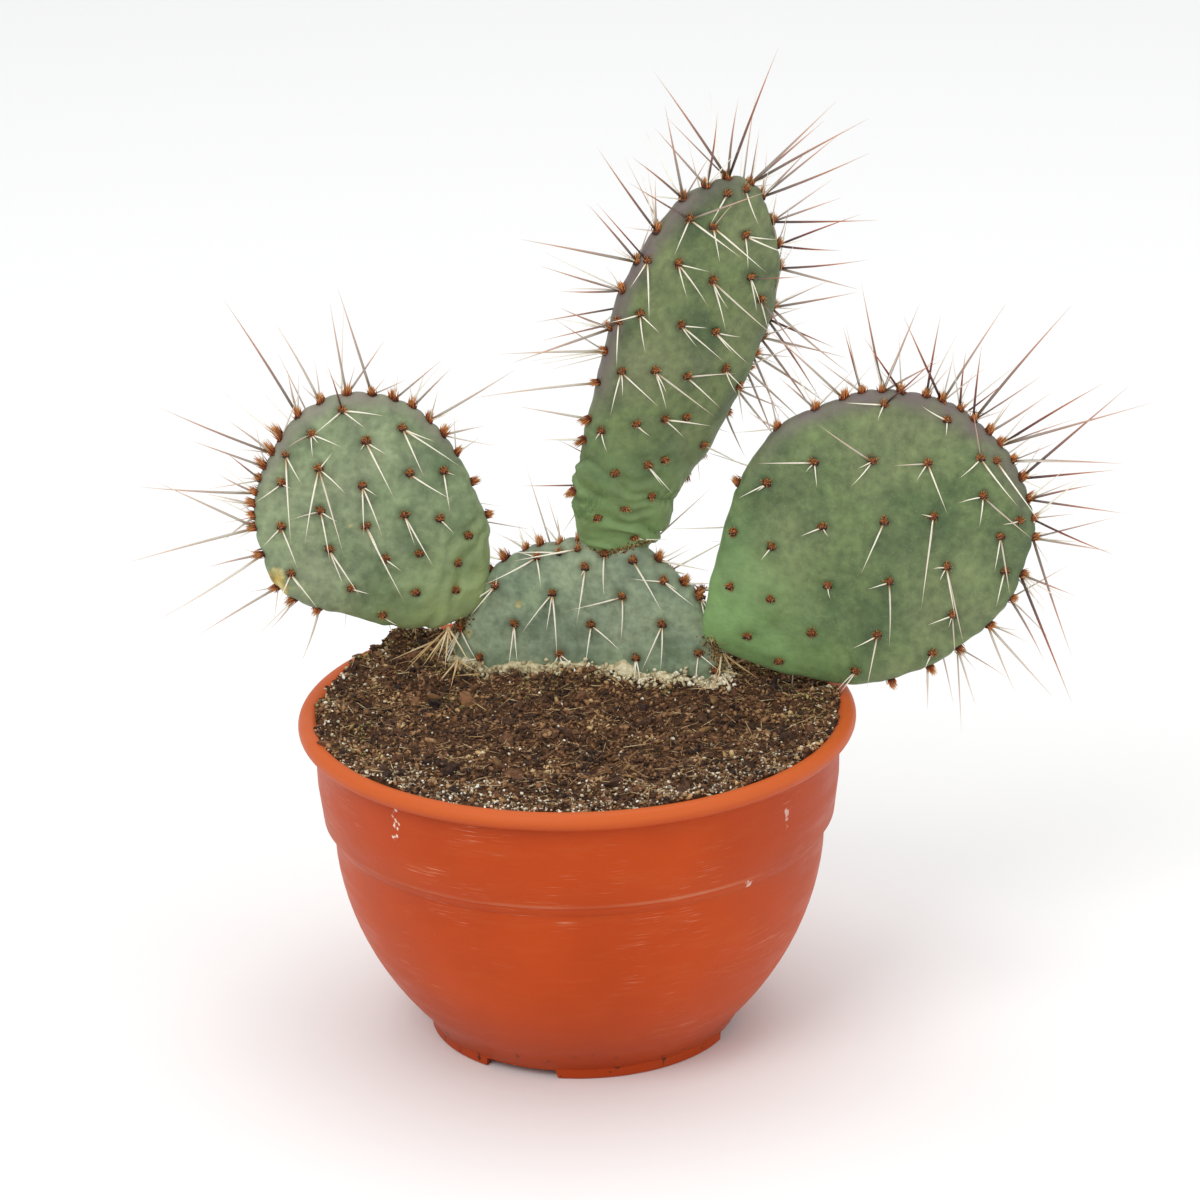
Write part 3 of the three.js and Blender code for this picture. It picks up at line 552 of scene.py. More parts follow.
def peat_bed():
    """Peat potting mix: dark, fibrous and matt, with lighter grains all through it."""
    material, tree, shader, where = new_material("peat_bed", 0.95, 1.4)
    coarse = add(tree, "TexNoise", {"Vector": where, "Scale": per_metre(3.2), "Detail": 8,
                                    "Roughness": 0.7})
    colour = set_ramp(add(tree, "ValToRGB", {0: coarse.outputs[0]}),
                      [(0.3, "#28190F"), (0.5, "#51351F"), (0.62, "#704E30"), (0.75, "#9A7448")])
    grains = add(tree, "TexVoronoi", {"Vector": where, "Scale": per_metre(1.3)})
    pale = add(tree, "MapRange", {0: grains.outputs[0], 1: 0.2, 2: 0.1, 3: 0, 4: 0.5})
    colour = add(tree, "Mix", {0: pale.outputs[0], 6: colour, 7: linear("#8E7C60")},
                 data_type="RGBA").outputs[2]
    tree.links.new(colour, shader.inputs["Base Color"])
    bump = add(tree, "Bump", {"Strength": 0.9, "Distance": 0.002, "Height": coarse.outputs[0]})
    tree.links.new(bump.outputs[0], shader.inputs["Normal"])
    return material


def lime_crust():
    """Lime and cork crust: chalky, crumbly and matt, stained by the peat."""
    material, tree, shader, where = new_material("lime_crust", 0.95, 1.5)
    lumps = add(tree, "TexNoise", {"Vector": where, "Scale": per_metre(4), "Detail": 7,
                                   "Roughness": 0.68})
    colour = set_ramp(add(tree, "ValToRGB", {0: lumps.outputs[0]}),
                      [(0.32, "#6A5A3E"), (0.45, "#B3A47C"), (0.56, "#D6CBA6"), (0.7, "#EFE9D2")])
    tree.links.new(colour, shader.inputs["Base Color"])
    bump = add(tree, "Bump", {"Strength": 0.8, "Distance": 0.0015, "Height": lumps.outputs[0]})
    tree.links.new(bump.outputs[0], shader.inputs["Normal"])
    return material


def root_bark():
    """Root bark: tan, matt and streaked along its fibres."""
    material, tree, shader, where = new_material("root_bark", 0.9, 1.5)
    fibres = add(tree, "Mapping", {"Vector": where, "Scale": (3, 3, 1)}).outputs[0]
    fibres = add(tree, "TexNoise", {"Vector": fibres, "Scale": per_metre(6), "Detail": 5})
    colour = set_ramp(add(tree, "ValToRGB", {0: fibres.outputs[0]}),
                      [(0.35, "#6E5234"), (0.65, "#B2925F")])
    tree.links.new(colour, shader.inputs["Base Color"])
    return material


# ---- Pot --------------------------------------------------------------------------


def wall_profile(inset=0.0):
    """The outside of the wall, from the foot up to below the bead."""
    heights = [z for _, z in BOWL]
    fit = np.polyfit(heights, [r for r, _ in BOWL], 4)
    bowl = [(float(np.polyval(fit, z)), z) for z in np.linspace(heights[0], heights[-1], 15)]
    return [(r - inset, z) for r, z in bowl + STEP + BAND]


def make_pot():
    """The pot as one turned shell, from the foot up the wall, over the bead and down inside."""
    middle = (RIM_RADIUS - BEAD, RIM_TOP - BEAD)
    bead = [(middle[0] + BEAD * math.cos(radians(a)), middle[1] + BEAD * math.sin(radians(a)))
            for a in range(-75, 166, 12)]
    foot = [(0, FLOOR["underside"]), (FOOT["inner"] - 0.8, FLOOR["underside"]),
            (FOOT["inner"], FLOOR["underside"] - 0.8), (FOOT["inner"], 0.6),
            (FOOT["inner"] + 0.6, 0), (FOOT["outer"] - 0.8, 0), (FOOT["outer"], 0.8),
            (FOOT["outer"], FOOT["height"] - 0.4), (FOOT["outer"] + 0.6, FOOT["height"])]
    inside = [p for p in wall_profile(WALL) if p[1] > FLOOR["top"] + 3][::-1]
    inside += [(FOOT["inner"], FLOOR["top"] + 0.6), (FOOT["inner"] - 4, FLOOR["top"]),
               (0, FLOOR["top"])]
    bm = turned(foot + wall_profile()[1:] + bead + inside, 256)
    pot = finish_piece("pot_moulding", bm, polypropylene(), ["pot"])
    cut_notches_and_drains(pot)
    soften_edges(pot)


def cut_notches_and_drains(pot):
    cuts = bmesh.new()
    for side in (0, 180):
        for spread in (-FOOT["spread"], FOOT["spread"]):
            turn = Matrix.Rotation(radians(FOOT["turn"] + side + spread), 4, "Z")
            block = bmesh.ops.create_cube(cuts, size=2)["verts"]
            size = (NOTCH["depth"] / 2, NOTCH["width"] / 2, NOTCH["height"])
            bmesh.ops.scale(cuts, vec=size, verts=block)
            for vert in block:  # the notch widens downwards
                vert.co.y *= 1.0 if vert.co.z > 0 else NOTCH["flare"]
            place = turn @ Matrix.Translation(((FOOT["inner"] + FOOT["outer"]) / 2 + 1.6, 0, 0))
            bmesh.ops.transform(cuts, matrix=place, verts=block)
    for i in range(DRAIN["count"]):
        turn = Matrix.Rotation(radians(FOOT["turn"] + 360 / DRAIN["count"] * i), 4, "Z")
        drill = bmesh.ops.create_cone(cuts, cap_ends=True, segments=40, radius1=DRAIN["radius"],
                                      radius2=DRAIN["radius"], depth=12)["verts"]
        place = turn @ Matrix.Translation((DRAIN["circle"], 0, FLOOR["top"]))
        bmesh.ops.transform(cuts, matrix=place, verts=drill)
    bmesh.ops.transform(cuts, matrix=TO_FRAME, verts=cuts.verts)
    cutter_mesh = bpy.data.meshes.new("pot_cuts")
    cuts.to_mesh(cutter_mesh)
    cutter = bpy.data.objects.new("pot_cuts", cutter_mesh)
    bpy.context.scene.collection.objects.link(cutter)
    cut = pot.modifiers.new("cuts", "BOOLEAN")
    cut.object = cutter
    cut.solver = "EXACT"
    shaped = bpy.data.meshes.new_from_object(pot.evaluated_get(
        bpy.context.evaluated_depsgraph_get()))
    pot.modifiers.remove(cut)
    pot.data = shaped
    bpy.data.objects.remove(cutter)


def soften_edges(piece):
    """Keeps the edges of 40 degrees and more crisp under smooth shading."""
    bm = bmesh.new()
    bm.from_mesh(piece.data)
    bmesh.ops.remove_doubles(bm, verts=bm.verts, dist=1e-6)
    for edge in bm.edges:
        edge.smooth = not edge.is_manifold or edge.calc_face_angle(0) < radians(40)
    bm.to_mesh(piece.data)
    bm.free()


# ---- Soil -------------------------------------------------------------------------


def soil_level(x, y):
    """The soil's height with its heaps and without its lumps."""
    z = SOIL_LEVEL
    for cx, cy, height, spread in HEAPS:
        z += height * math.exp(-((x - cx) ** 2 + (y - cy) ** 2) / spread ** 2)
    return z


def soil_top(x, y):
    """The soil's surface with its lumps, banked a little against the pot."""
    point = Vector((x, y, 0))
    z = soil_level(x, y) + 3.6 * noise.noise(point / 17) + 2.4 * noise.noise(point / 6.5)
    z += 1.0 * noise.noise(point / 2.6)
    return z + 1.2 * smooth_step(96, SOIL_RADIUS, math.hypot(x, y))


def make_soil():
    """The bed of soil, which fills the pot, with a lumpy top."""
    inset = WALL + 0.35
    wall = [p for p in wall_profile(inset) if p[1] > FLOOR["top"] + 3]
    wall += [(SOIL_RADIUS - 1, SOIL_LEVEL - 1.2)]
    low = FLOOR["top"] + 0.3
    rings = [(SOIL_RADIUS * i / 84, SOIL_LEVEL) for i in range(84, 0, -1)]
    profile = [(0, low), (FOOT["inner"] - 5, low)] + wall + rings + [(0, SOIL_LEVEL)]
    bm = turned(profile, 300)
    for vert in bm.verts:
        if vert.co.z > SOIL_LEVEL - 0.01:
            vert.co.z = soil_top(vert.co.x, vert.co.y)
    finish_piece("peat_bed", bm, peat_bed(), ["soil"])


def random_spot(rng, inner=0.0, outer=SOIL_RADIUS + 0.7):
    """A random place on the soil, between two radii."""
    radius = math.sqrt(rng.uniform(inner ** 2, outer ** 2))
    angle = rng.uniform(0, math.tau)
    return radius * math.cos(angle), radius * math.sin(angle)


def sprinkle(rng, spots, sizes, kinds, sink, flat=1.0, tones=(0, 1)):
    """Places for lumps on the soil at given spots, each turned at random."""
    placed = []
    for x, y in spots:
        size = rng.uniform(*sizes) if rng.random() < 0.8 else sizes[1] * rng.uniform(1, 1.4)
        turn = Matrix.Rotation(rng.uniform(0, math.tau), 4, "Z")
        tilt = Matrix.Rotation(rng.gauss(0, 0.7), 4, "X")
        tilt = tilt @ Matrix.Rotation(rng.gauss(0, 0.7), 4, "Y")
        scale = Matrix.Diagonal((size * rng.uniform(0.8, 1.5), size, size * flat, 1))
        at = Matrix.Translation((x, y, soil_top(x, y) + size * sink))
        tone = rng.uniform(*tones) + 0.5 * noise.noise(Vector((x, y, 40)) / 13)
        placed.append((rng.randrange(kinds), at @ turn @ tilt @ scale, tone))
    return placed


def strew(rng, spots, lengths, width, kinds, lift=0.5, stand=0.16, tones=(0, 1)):
    """Places for fibres and twigs lying on the soil at given spots."""
    placed = []
    for x, y in spots:
        heading = rng.uniform(0, math.tau)
        way = Vector((math.cos(heading), math.sin(heading), rng.gauss(0, stand))).normalized()
        length = rng.uniform(*lengths)
        start = Vector((x, y, soil_top(x, y) + lift)) - way * length / 2
        end = start + way * length
        if math.hypot(end.x, end.y) > SOIL_RADIUS or math.hypot(start.x, start.y) > SOIL_RADIUS:
            continue
        matrix = placement(start, way, width * rng.uniform(0.6, 1.3), length, rng.uniform(0, 6.3))
        placed.append((rng.randrange(kinds), matrix, rng.uniform(*tones)))
    return placed


def make_soil_litter():
    """What lies loose on the soil: peat crumbs and clods, grit, fibres, straw, bark and moss."""
    rng = random.Random(11)
    lumps = [crumb(1, 0.75, k) for k in range(6)]
    clods = [crumb(2, 0.8, k + 20) for k in range(5)]
    straws = [needle(4, 3, bend) for bend in (0.06, 0.16, 0.3, -0.22)]
    peat = [(0.0, "#26160D"), (0.28, "#50331F"), (0.6, "#815939"), (0.85, "#A88258"),
            (1.0, "#C8AA7A")]
    peat_look = loose("peat_crumbs", 0.95, peat, 2.0)

    for layer, sizes, count in (("coarse", (0.4, 1.0), 8200), ("fine", (0.26, 0.62), 9700),
                                ("dust", (0.2, 0.5), 9700)):
        spots = [random_spot(rng) for _ in range(count)]
        crumbs = sprinkle(rng, spots, sizes, len(lumps), 0.5, 0.75, (0, 0.82))
        scatter(f"{layer}_peat_crumbs", lumps, crumbs, peat_look, [])

    spots = [random_spot(rng) for _ in range(170)]
    lumpy = sprinkle(rng, spots, (1.4, 2.7), len(clods), 0.1, 0.8, (0.05, 0.4))
    scatter("peat_clods", clods, lumpy, peat_look, [], smooth=False)

    spots = [random_spot(rng) for _ in range(800)] + [random_spot(rng, 97) for _ in range(700)]
    spots += [s for s in (random_spot(rng, 80) for _ in range(3800))
              if rng.random() < smooth_step(-15, -85, s[1])]
    grit = sprinkle(rng, spots, (0.22, 0.55), len(lumps), 1.2)
    pale = [(0.0, "#8C7C64"), (0.4, "#BBAA8B"), (0.75, "#D9CEB4"), (1.0, "#F1EDE0")]
    scatter("perlite_grit", lumps, grit, loose("perlite_grit", 0.85, pale, 1.0), [])

    spots = [random_spot(rng) for _ in range(3000)]
    fibres = strew(rng, spots, (2.5, 9), 0.16, len(straws), 1.0, 0.24)
    brown = [(0.0, "#3A2414"), (0.45, "#6E4C2E"), (0.75, "#A07C52"), (1.0, "#D2B88A")]
    scatter("peat_fibres", straws, fibres, loose("peat_fibres", 0.9, brown, 3.0), [])

    straws_lying = strew(rng, [random_spot(rng) for _ in range(150)], (4, 12), 0.17,
                         len(straws), 1.6, 0.3)
    hay = [(0.0, "#8C6C42"), (0.5, "#B89A68"), (1.0, "#E2CFA2")]
    scatter("straw_fibres", straws, straws_lying, loose("straw_fibres", 0.85, hay, 3.0), [])

    spots = [random_spot(rng) for _ in range(60)]
    chips = sprinkle(rng, spots, (0.7, 1.7), len(lumps), 0.9, 0.22)
    straw = [(0.0, "#6B4A28"), (0.5, "#A07B4A"), (1.0, "#CDB07C")]
    scatter("bark_and_straw_chips", lumps, chips, loose("straw_chips", 0.85, straw, 3.0), [])

    # moss grows in patches near the plant and along the right of the rim
    spots = [s for s in (random_spot(rng) for _ in range(9000))
             if noise.noise(Vector((s[0], s[1], 9)) / 18) > 0.1
             and (s[1] > 5 or math.hypot(*s) > 84) and s[1] > -45]
    moss = sprinkle(rng, spots, (0.2, 0.5), len(lumps), 1.2)
    green = [(0.0, "#4E4522"), (0.5, "#80723C"), (1.0, "#ACA062")]
    scatter("moss_crumbs", lumps, moss, loose("moss_crumbs", 0.95, green, 1.5), [])


# ---- Pads -------------------------------------------------------------------------

# Old wounds healed to yellow-brown cork: across, along, spread and strength.
SCARS = {
    "mother": [(-26, 18, 3.0, 0.52), (-50, 2, 5, 0.45), (30, 38, 3, 0.4)],
    "left": [(-52, 3, 9, 0.8), (-10, 3, 2.2, 0.42)],
    "middle": [(-22, -84, 4, 0.4), (8, -90, 4, 0.4)],
    "right": [(2, -70, 3, 0.35), (22, 8, 1.5, 0.36), (-20, 34, 1.4, 0.34)],
}
# Where the sun has flushed each pad, as a direction across and up, and how strongly.
SUNNY = {"mother": (0, 1), "left": (-0.15, 1), "middle": (-0.75, 0.66), "right": (0.25, 0.97)}
FLUSH = {"mother": 0.15, "left": 0.75, "middle": 0.9, "right": 0.85}


def outline_radii(outline):
    """A pad outline's radius at each whole degree, clockwise from the tip."""
    angles, radii = [], []
    for i in range(len(outline)):
        a, b, c, d = (np.array(outline[(i + k) % len(outline)], float) for k in (-1, 0, 1, 2))
        for t in np.arange(0, 1, 0.05):
            p = 0.5 * (2 * b + (c - a) * t + (2 * a - 5 * b + 4 * c - d) * t ** 2
                       + (3 * b - a - 3 * c + d) * t ** 3)
            angles.append(math.degrees(math.atan2(p[0], p[1])) % 360)
            radii.append(math.hypot(p[0], p[1]))
    return np.interp(range(360), angles, radii, period=360)


RADII = {name: outline_radii(pad["outline"]) for name, pad in PADS.items()}


def radius_at(name, angle):
    """A pad outline's radius at an angle in radians, clockwise from the tip."""
    degrees = math.degrees(angle) % 360
    low = int(degrees) % 360
    step = degrees - int(degrees)
    return RADII[name][low] * (1 - step) + RADII[name][(low + 1) % 360] * step


def height_share(name, along):
    """How far up a pad a point is, from 0 at its base to 1 at its tip."""
    heights = [v for _, v in PADS[name]["outline"]]
    return min(max((along - min(heights)) / (max(heights) - min(heights)), 0), 1)


def half_thickness(name, along):
    share = height_share(name, along)
    return (PADS[name]["base"] * (1 - share) + PADS[name]["tip"] * share) / 2


def pad_matrix(name):
    """The place of a pad's own frame, in millimetres round the pot's axis."""
    pitch, lean, yaw = (radians(turn) for turn in PADS[name]["turn"])
    turn = (Matrix.Rotation(pitch, 4, "X") @ Matrix.Rotation(lean, 4, "Y")
            @ Matrix.Rotation(yaw, 4, "Z"))
    return Matrix.Translation(PADS[name]["centre"]) @ turn


def face_point(name, across, along, side):
    """The point of a pad's smooth face at a place across and along it. The front is -1."""
    share = min(math.hypot(across, along) / radius_at(name, math.atan2(across, along)), 0.995)
    deep = half_thickness(name, along) * (1 - share ** CROWNING) ** (1 / CROWNING)
    return Vector((across, side * deep, along))


def face_normal(name, across, along, side):
    """The way out of a pad's smooth face at a place across and along it."""
    here = face_point(name, across, along, side)
    over = face_point(name, across + 1, along, side) - here
    up = face_point(name, across, along + 1, side) - here
    return over.cross(up).normalized() * (1 if over.cross(up).y * side > 0 else -1)


def relief(name, co):
    """How far the skin stands off a pad's smooth form at a point: its dents and folds."""
    rolling = 1.5 * noise.noise(co / 24 + Vector((3, 0, 0))) + 0.6 * noise.noise(co / 8.5)
    return rolling + creases(name, co)


def areoles(name):
    """Every areole of a pad, as (where, point, way out of the skin, place or index)."""
    found = []
    for side in (-1, 1):
        for i, (across, along, _) in enumerate(PADS[name]["areoles"]):
            if side > 0:  # the back has its own, shifted pattern
                across, along = 0.93 * across + 2.5, 0.93 * along + 3.5
            point = face_point(name, across, along, side)
            out = face_normal(name, across, along, side)
            found.append(("front" if side < 0 else "back",
                          point + out * (relief(name, point) + 0.1), out, i))
    for place, _ in RIMS[name]:
        angle = radians(place)
        out = Vector((math.sin(angle), 0, math.cos(angle)))
        point = out * radius_at(name, angle)
        found.append(("rim", point + out * relief(name, point), out, place))
    return found


def creases(name, co):
    """The folds of a pad's base, where it grew out of the pad below."""
    bent = co + 9 * Vector((0, 0, noise.noise(co / 13)))
    if name == "middle":
        folds = noise.noise(Vector((bent.x / 26, bent.y / 30, (bent.z + 0.15 * bent.x) / 3.6)))
        return 3.0 * folds * smooth_step(-34, -70, co.z)
    if name == "left":
        folds = noise.noise(Vector((bent.x / 26, bent.y / 30, (bent.z - 0.55 * bent.x) / 6.5)))
        return 1.5 * folds * smooth_step(-18, -46, co.z - 0.35 * co.x)
    return 0.0


def make_pad(name, material):
    """A pad's flesh: a crowned oval that swells round each areole and dips at its middle.

    It keeps four values on its points for the skin: the sun's flush, the painted shade in
    the dip round an areole, a scar, and the age of the base.
    """
    spots = areoles(name)
    near = kdtree.KDTree(len(spots))
    for i, (_, point, _, _) in enumerate(spots):
        near.insert(point, i)
    near.balance()
    bm = bmesh.new()
    bmesh.ops.create_icosphere(bm, subdivisions=7, radius=1)
    for vert in bm.verts:
        x, y, z = vert.co
        angle = math.atan2(x, z)
        radius = radius_at(name, angle) * math.hypot(x, z) ** (2 / CROWNING)
        along = radius * math.cos(angle)
        deep = half_thickness(name, along) * abs(y) ** (2 / CROWNING)
        vert.co = (radius * math.sin(angle), math.copysign(deep, y), along)
    bm.normal_update()
    layers = {label: bm.verts.layers.float.new(label) for label in SKIN_VALUES}
    lean = radians(PADS[name]["turn"][1])
    sunny = Vector(SUNNY[name]).normalized()
    for vert in bm.verts:
        co = vert.co.copy()
        lift, areole_shade = 0.0, 0.0
        for _, _, away in near.find_range(co, 15):
            lift += 0.8 * math.exp(-(away / 5.6) ** 2) - 1.3 * math.exp(-(away / 2.5) ** 2)
            # the painted shade is strongest in the dip round the nearest areole
            areole_shade = max(areole_shade, math.exp(-(away / 3.4) ** 2))
        vert.co = co + vert.normal * (lift + relief(name, co))
        place = math.atan2(co.x, co.z)
        share = math.hypot(co.x, co.z) / radius_at(name, place)
        way = Vector((math.sin(place + lean), math.cos(place + lean)))
        facing = smooth_step(0.1, 0.9, way.dot(sunny))
        vert[layers["flush"]] = FLUSH[name] * facing * smooth_step(0.85, 1.0, share)
        vert[layers["areole_shade"]] = areole_shade
        vert[layers["age"]] = smooth_step(0.42, 0.0, height_share(name, co.z))
        vert[layers["scar"]] = sum(
            strength * math.exp(-((co.x - x) ** 2 + (co.z - z) ** 2) / spread ** 2)
            for x, z, spread, strength in SCARS[name] if co.y < 2)
    bmesh.ops.transform(bm, matrix=pad_matrix(name), verts=bm.verts)
    finish_piece(f"{name}_pad_flesh", bm, material, [f"{name}_pad"])


# ---- Glochids and spines ----------------------------------------------------------


# A tuft's bristles: how many, how long, how far they spread and how straight out they stand.
FACE_TUFT = {"count": 54, "length": 3.1, "spread": 0.42, "push": 0.9}
RIM_TUFT = {"count": 84, "length": (4.6, 6.4), "spread": 0.3, "push": 1.9}
BUSHY = (-30, -8)  # where on the left pad's rim the tufts are longest, like a place in RIMS

RIM_TONE = {"mother": 0.2, "left": 0.75, "middle": 0.95, "right": 0.95}
# The greatest lengths of the shorter spines beside each rim areole's long ones.
SHELTERED = {"mother": (14,), "left": (15, 26), "middle": (16, 30, 38), "right": (16, 28, 38)}


def make_glochids(name, material):
    """The tuft of rust-brown bristles in each areole, over a small woolly cushion."""
    rng = random.Random(len(name) * 31)
    shapes = [crumb(1, 0.25, 3), needle(4, 2, 0.12), needle(4, 2, -0.2)]
    matrix = pad_matrix(name)
    turn = matrix.to_3x3()
    placed = []
    for where, point, out, place in areoles(name):
        at, way = matrix @ point, turn @ out
        if where != "rim" and at.z < soil_level(at.x, at.y):
            continue
        base = Matrix.Translation(at - way * 0.4) @ Matrix.Diagonal((2.0, 2.0, 2.0, 1))
        placed.append((0, base, 0.05))
        up = Vector((0, 0, 1)) - way * way.z
        up = up.normalized() if up.length > 0.05 else Vector((0, 0, 1))
        on_rim = where == "rim"
        tuft = RIM_TUFT if on_rim else FACE_TUFT
        long = rng.uniform(*tuft["length"]) if on_rim else tuft["length"]
        if on_rim and name == "left" and BUSHY[0] < place < BUSHY[1]:
            long *= 1.5
        for _ in range(tuft["count"]):
            spread = Vector([rng.gauss(0, tuft["spread"]) for _ in range(3)])
            aim = (way * tuft["push"] + up * 0.42 + spread).normalized()
            if aim.dot(way) < 0.1:
                continue
            side = Vector([rng.gauss(0, 0.75) for _ in range(3)])
            start = at + (side - way * side.dot(way)) + up * 0.3 - way * 0.3
            length = long * rng.uniform(0.5, 1.15) * (1.0 - 0.16 * side.length)
            kind = rng.choice((1, 2))
            bristle_at = placement(start, aim, 0.24, length, rng.uniform(0, 6.3))
            placed.append((kind, bristle_at, rng.uniform(0.1, 1)))
    scatter(f"{name}_pad_glochids", shapes, placed, material, [])


def plane_aim(degrees):
    """A direction in a pad's plane, clockwise from its tip."""
    return Vector((math.sin(radians(degrees)), 0, math.cos(radians(degrees))))


def make_spines(name, material):
    """A pad's spines: those of its faces lie near the skin and those of its rim stand out."""
    rng = random.Random(len(name) * 17 + 5)
    shapes = [needle(6, 5, bend) for bend in (0.0, 2.5, -4.0, 5.0)]
    matrix = pad_matrix(name)
    turn = matrix.to_3x3()
    lean = PADS[name]["turn"][1]
    placed = []

    def grow(point, way, length, width, tone):
        spin = rng.uniform(0, math.tau)
        placed.append((rng.randrange(len(shapes)),
                       placement(matrix @ point, turn @ way, width, length, spin), tone))

    fronts = [spines for _, _, spines in PADS[name]["areoles"]]
    for where, point, out, i in areoles(name):
        at = matrix @ point
        if where == "rim" or at.z < soil_level(at.x, at.y) + 1:
            continue
        spines = fronts[i] if where == "front" else fronts[(i + 3) % len(fronts)]
        for length, aim, *tone in spines:
            stray = 0 if where == "front" else rng.gauss(0, 14)
            heading = plane_aim(aim - lean + stray)
            heading = (heading - out * heading.dot(out)).normalized()
            lift = radians(rng.uniform(9, 24) if length > 9 else rng.uniform(15, 40))
            way = heading * math.cos(lift) + out * math.sin(lift)
            width = 0.25 + 0.006 * min(length, 26)
            grow(point, way, length / math.cos(lift), width,
                 tone[0] if tone else rng.uniform(0.0, 0.1))
        # the back carries a few longer ones that show past the pad's edges
        if where == "back" and rng.random() < 0.55:
            flat = Vector((point.x, 0, point.z)).normalized()
            way = (flat + out * rng.uniform(0.3, 0.8) + Vector((0, 0, -0.5))).normalized()
            grow(point, way, rng.uniform(26, 44), 0.36, rng.uniform(0.0, 0.7))
    for place, spines in RIMS[name]:
        angle = radians(place)
        point = plane_aim(place) * radius_at(name, angle)
        point += plane_aim(place) * relief(name, point)
        for length, aim in spines:
            flat = plane_aim(aim)
            lift = rng.uniform(-0.22, 0.3)
            way = (flat + Vector((0, -lift, 0))).normalized()
            tone = RIM_TONE[name] + rng.uniform(-0.3, 0.15) - 0.006 * max(abs(place) - 40, 0)
            grow(point, way, length, 0.41 + 0.003 * length, min(max(tone, 0), 1))
        # shorter ones in the shelter of the long ones
        for longest in SHELTERED[name] if height_share(name, point.z) > 0.45 else ():
            aim = place + rng.gauss(0, 34)
            way = (plane_aim(aim) + Vector((0, rng.uniform(-0.6, 0.7), 0))).normalized()
            length = longest * rng.uniform(0.5, 1)
            grow(point, way, length, 0.25 + 0.003 * length, rng.uniform(0.0, 0.25 + length / 45))
    clusters = [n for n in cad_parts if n.startswith((f"{name}_rim_", f"{name}_face_"))]
    scatter(f"{name}_pad_spines", shapes, placed, material, clusters)


# ---- Crust and old spines at the soil line ----------------------------------------


def mother_section(angle, out):
    """A point round the mother pad where it leaves the soil, moved out by some millimetres."""
    c, s = math.cos(angle), math.sin(angle)
    power = 2 / CROWNING
    wide, deep = SOIL_LINE
    x = wide * math.copysign(abs(c) ** power, c)
    y = deep * math.copysign(abs(s) ** power, s)
    slope = Vector((math.copysign(abs(x / wide) ** (CROWNING - 1), x) / wide,
                    math.copysign(abs(y / deep) ** (CROWNING - 1), y) / deep)).normalized()
    x, y = x + out * slope.x, y + out * slope.y
    yaw = radians(PADS["mother"]["turn"][2])
    cx, cy, _ = PADS["mother"]["centre"]
    return (cx + x * math.cos(yaw) - y * math.sin(yaw), cy + x * math.sin(yaw) + y * math.cos(yaw))


def make_crust():
    """The crust round the mother pad at the soil line: a lumpy ring and loose crumbs."""
    ring = [(1 + 0.25 * math.cos(a), 0.25 * math.sin(a)) for a in np.linspace(0, math.tau, 25)]
    bm = turned(ring, 480)
    for vert in bm.verts:
        angle = math.atan2(vert.co.y, vert.co.x)
        out = (math.hypot(vert.co.x, vert.co.y) - 1) / 0.25
        rise = vert.co.z / 0.25
        spot = Vector(mother_section(angle, 0)).to_3d()
        wide = 2.4 + 1.8 * noise.noise(spot / 9)
        tall = 3.4 + 4.4 * noise.noise(spot / 8 + Vector((5, 5, 5)))
        x, y = mother_section(angle, 0.6 + out * wide)
        z = soil_level(x, y) + rise * tall + 1.0 * noise.noise(Vector((x, y, rise * 4)) / 1.8)
        vert.co = (x, y, z)
    bmesh.ops.recalc_face_normals(bm, faces=bm.faces)
    finish_piece("lime_crust_ring", bm, lime_crust(), ["soil_line_crust"])

    rng = random.Random(4)
    lumps = [crumb(1, 0.7, k) for k in range(5)]
    placed = []
    for _ in range(1500):
        angle = rng.uniform(0, math.tau)
        x, y = mother_section(angle, rng.uniform(0.3, 3.5) + abs(rng.gauss(0, 2.4)))
        size = rng.uniform(0.3, 1.3)
        edge = mother_section(angle, 0)
        near = smooth_step(5, 1, math.hypot(x - edge[0], y - edge[1]))
        at = Vector((x, y, soil_top(x, y) + size * 0.6 + near * rng.uniform(0, 4)))
        whiter = smooth_step(-50, 60, x)
        kind = rng.randrange(len(lumps))
        way = Vector((rng.gauss(0, 1), rng.gauss(0, 1), 1))
        crumb_at = placement(at, way, size, size * rng.uniform(0.6, 1.1))
        placed.append((kind, crumb_at, rng.uniform(0, 0.6) + 0.4 * whiter))
    shades = [(0.0, "#6F5E42"), (0.35, "#A99A74"), (0.7, "#D6CBA8"), (1.0, "#F4F0E2")]
    scatter("lime_crust_crumbs", lumps, placed, loose("lime_crumbs", 0.95, shades, 1.5), [])


# Old spines at the mother pad's ends: where they spring from, in millimetres round the
# pot's axis, then each one's length, aim seen from the front and lean towards the front.
OLD_SPINES = [
    ((-53, 47, 157), [(27, 232, 20), (22, 224, 35), (16, 202, 30), (19, 192, 40), (12, 176, 30),
                      (22, 140, 35), (15, 160, 50)]),
    ((-50, 41, 145), [(19, 226, 30), (15, 200, 45), (13, 108, 40), (11, 150, 35)]),
    ((-57, 52, 150), [(24, 250, 10), (18, 236, 25), (13, 215, 30)]),
    ((61, 24, 152), [(18, 122, 30), (15, 206, 40), (13, 186, 45), (10, 150, 35)]),
    ((60, 20, 145), [(14, 212, 40), (12, 140, 45), (9, 90, 30)]),
]


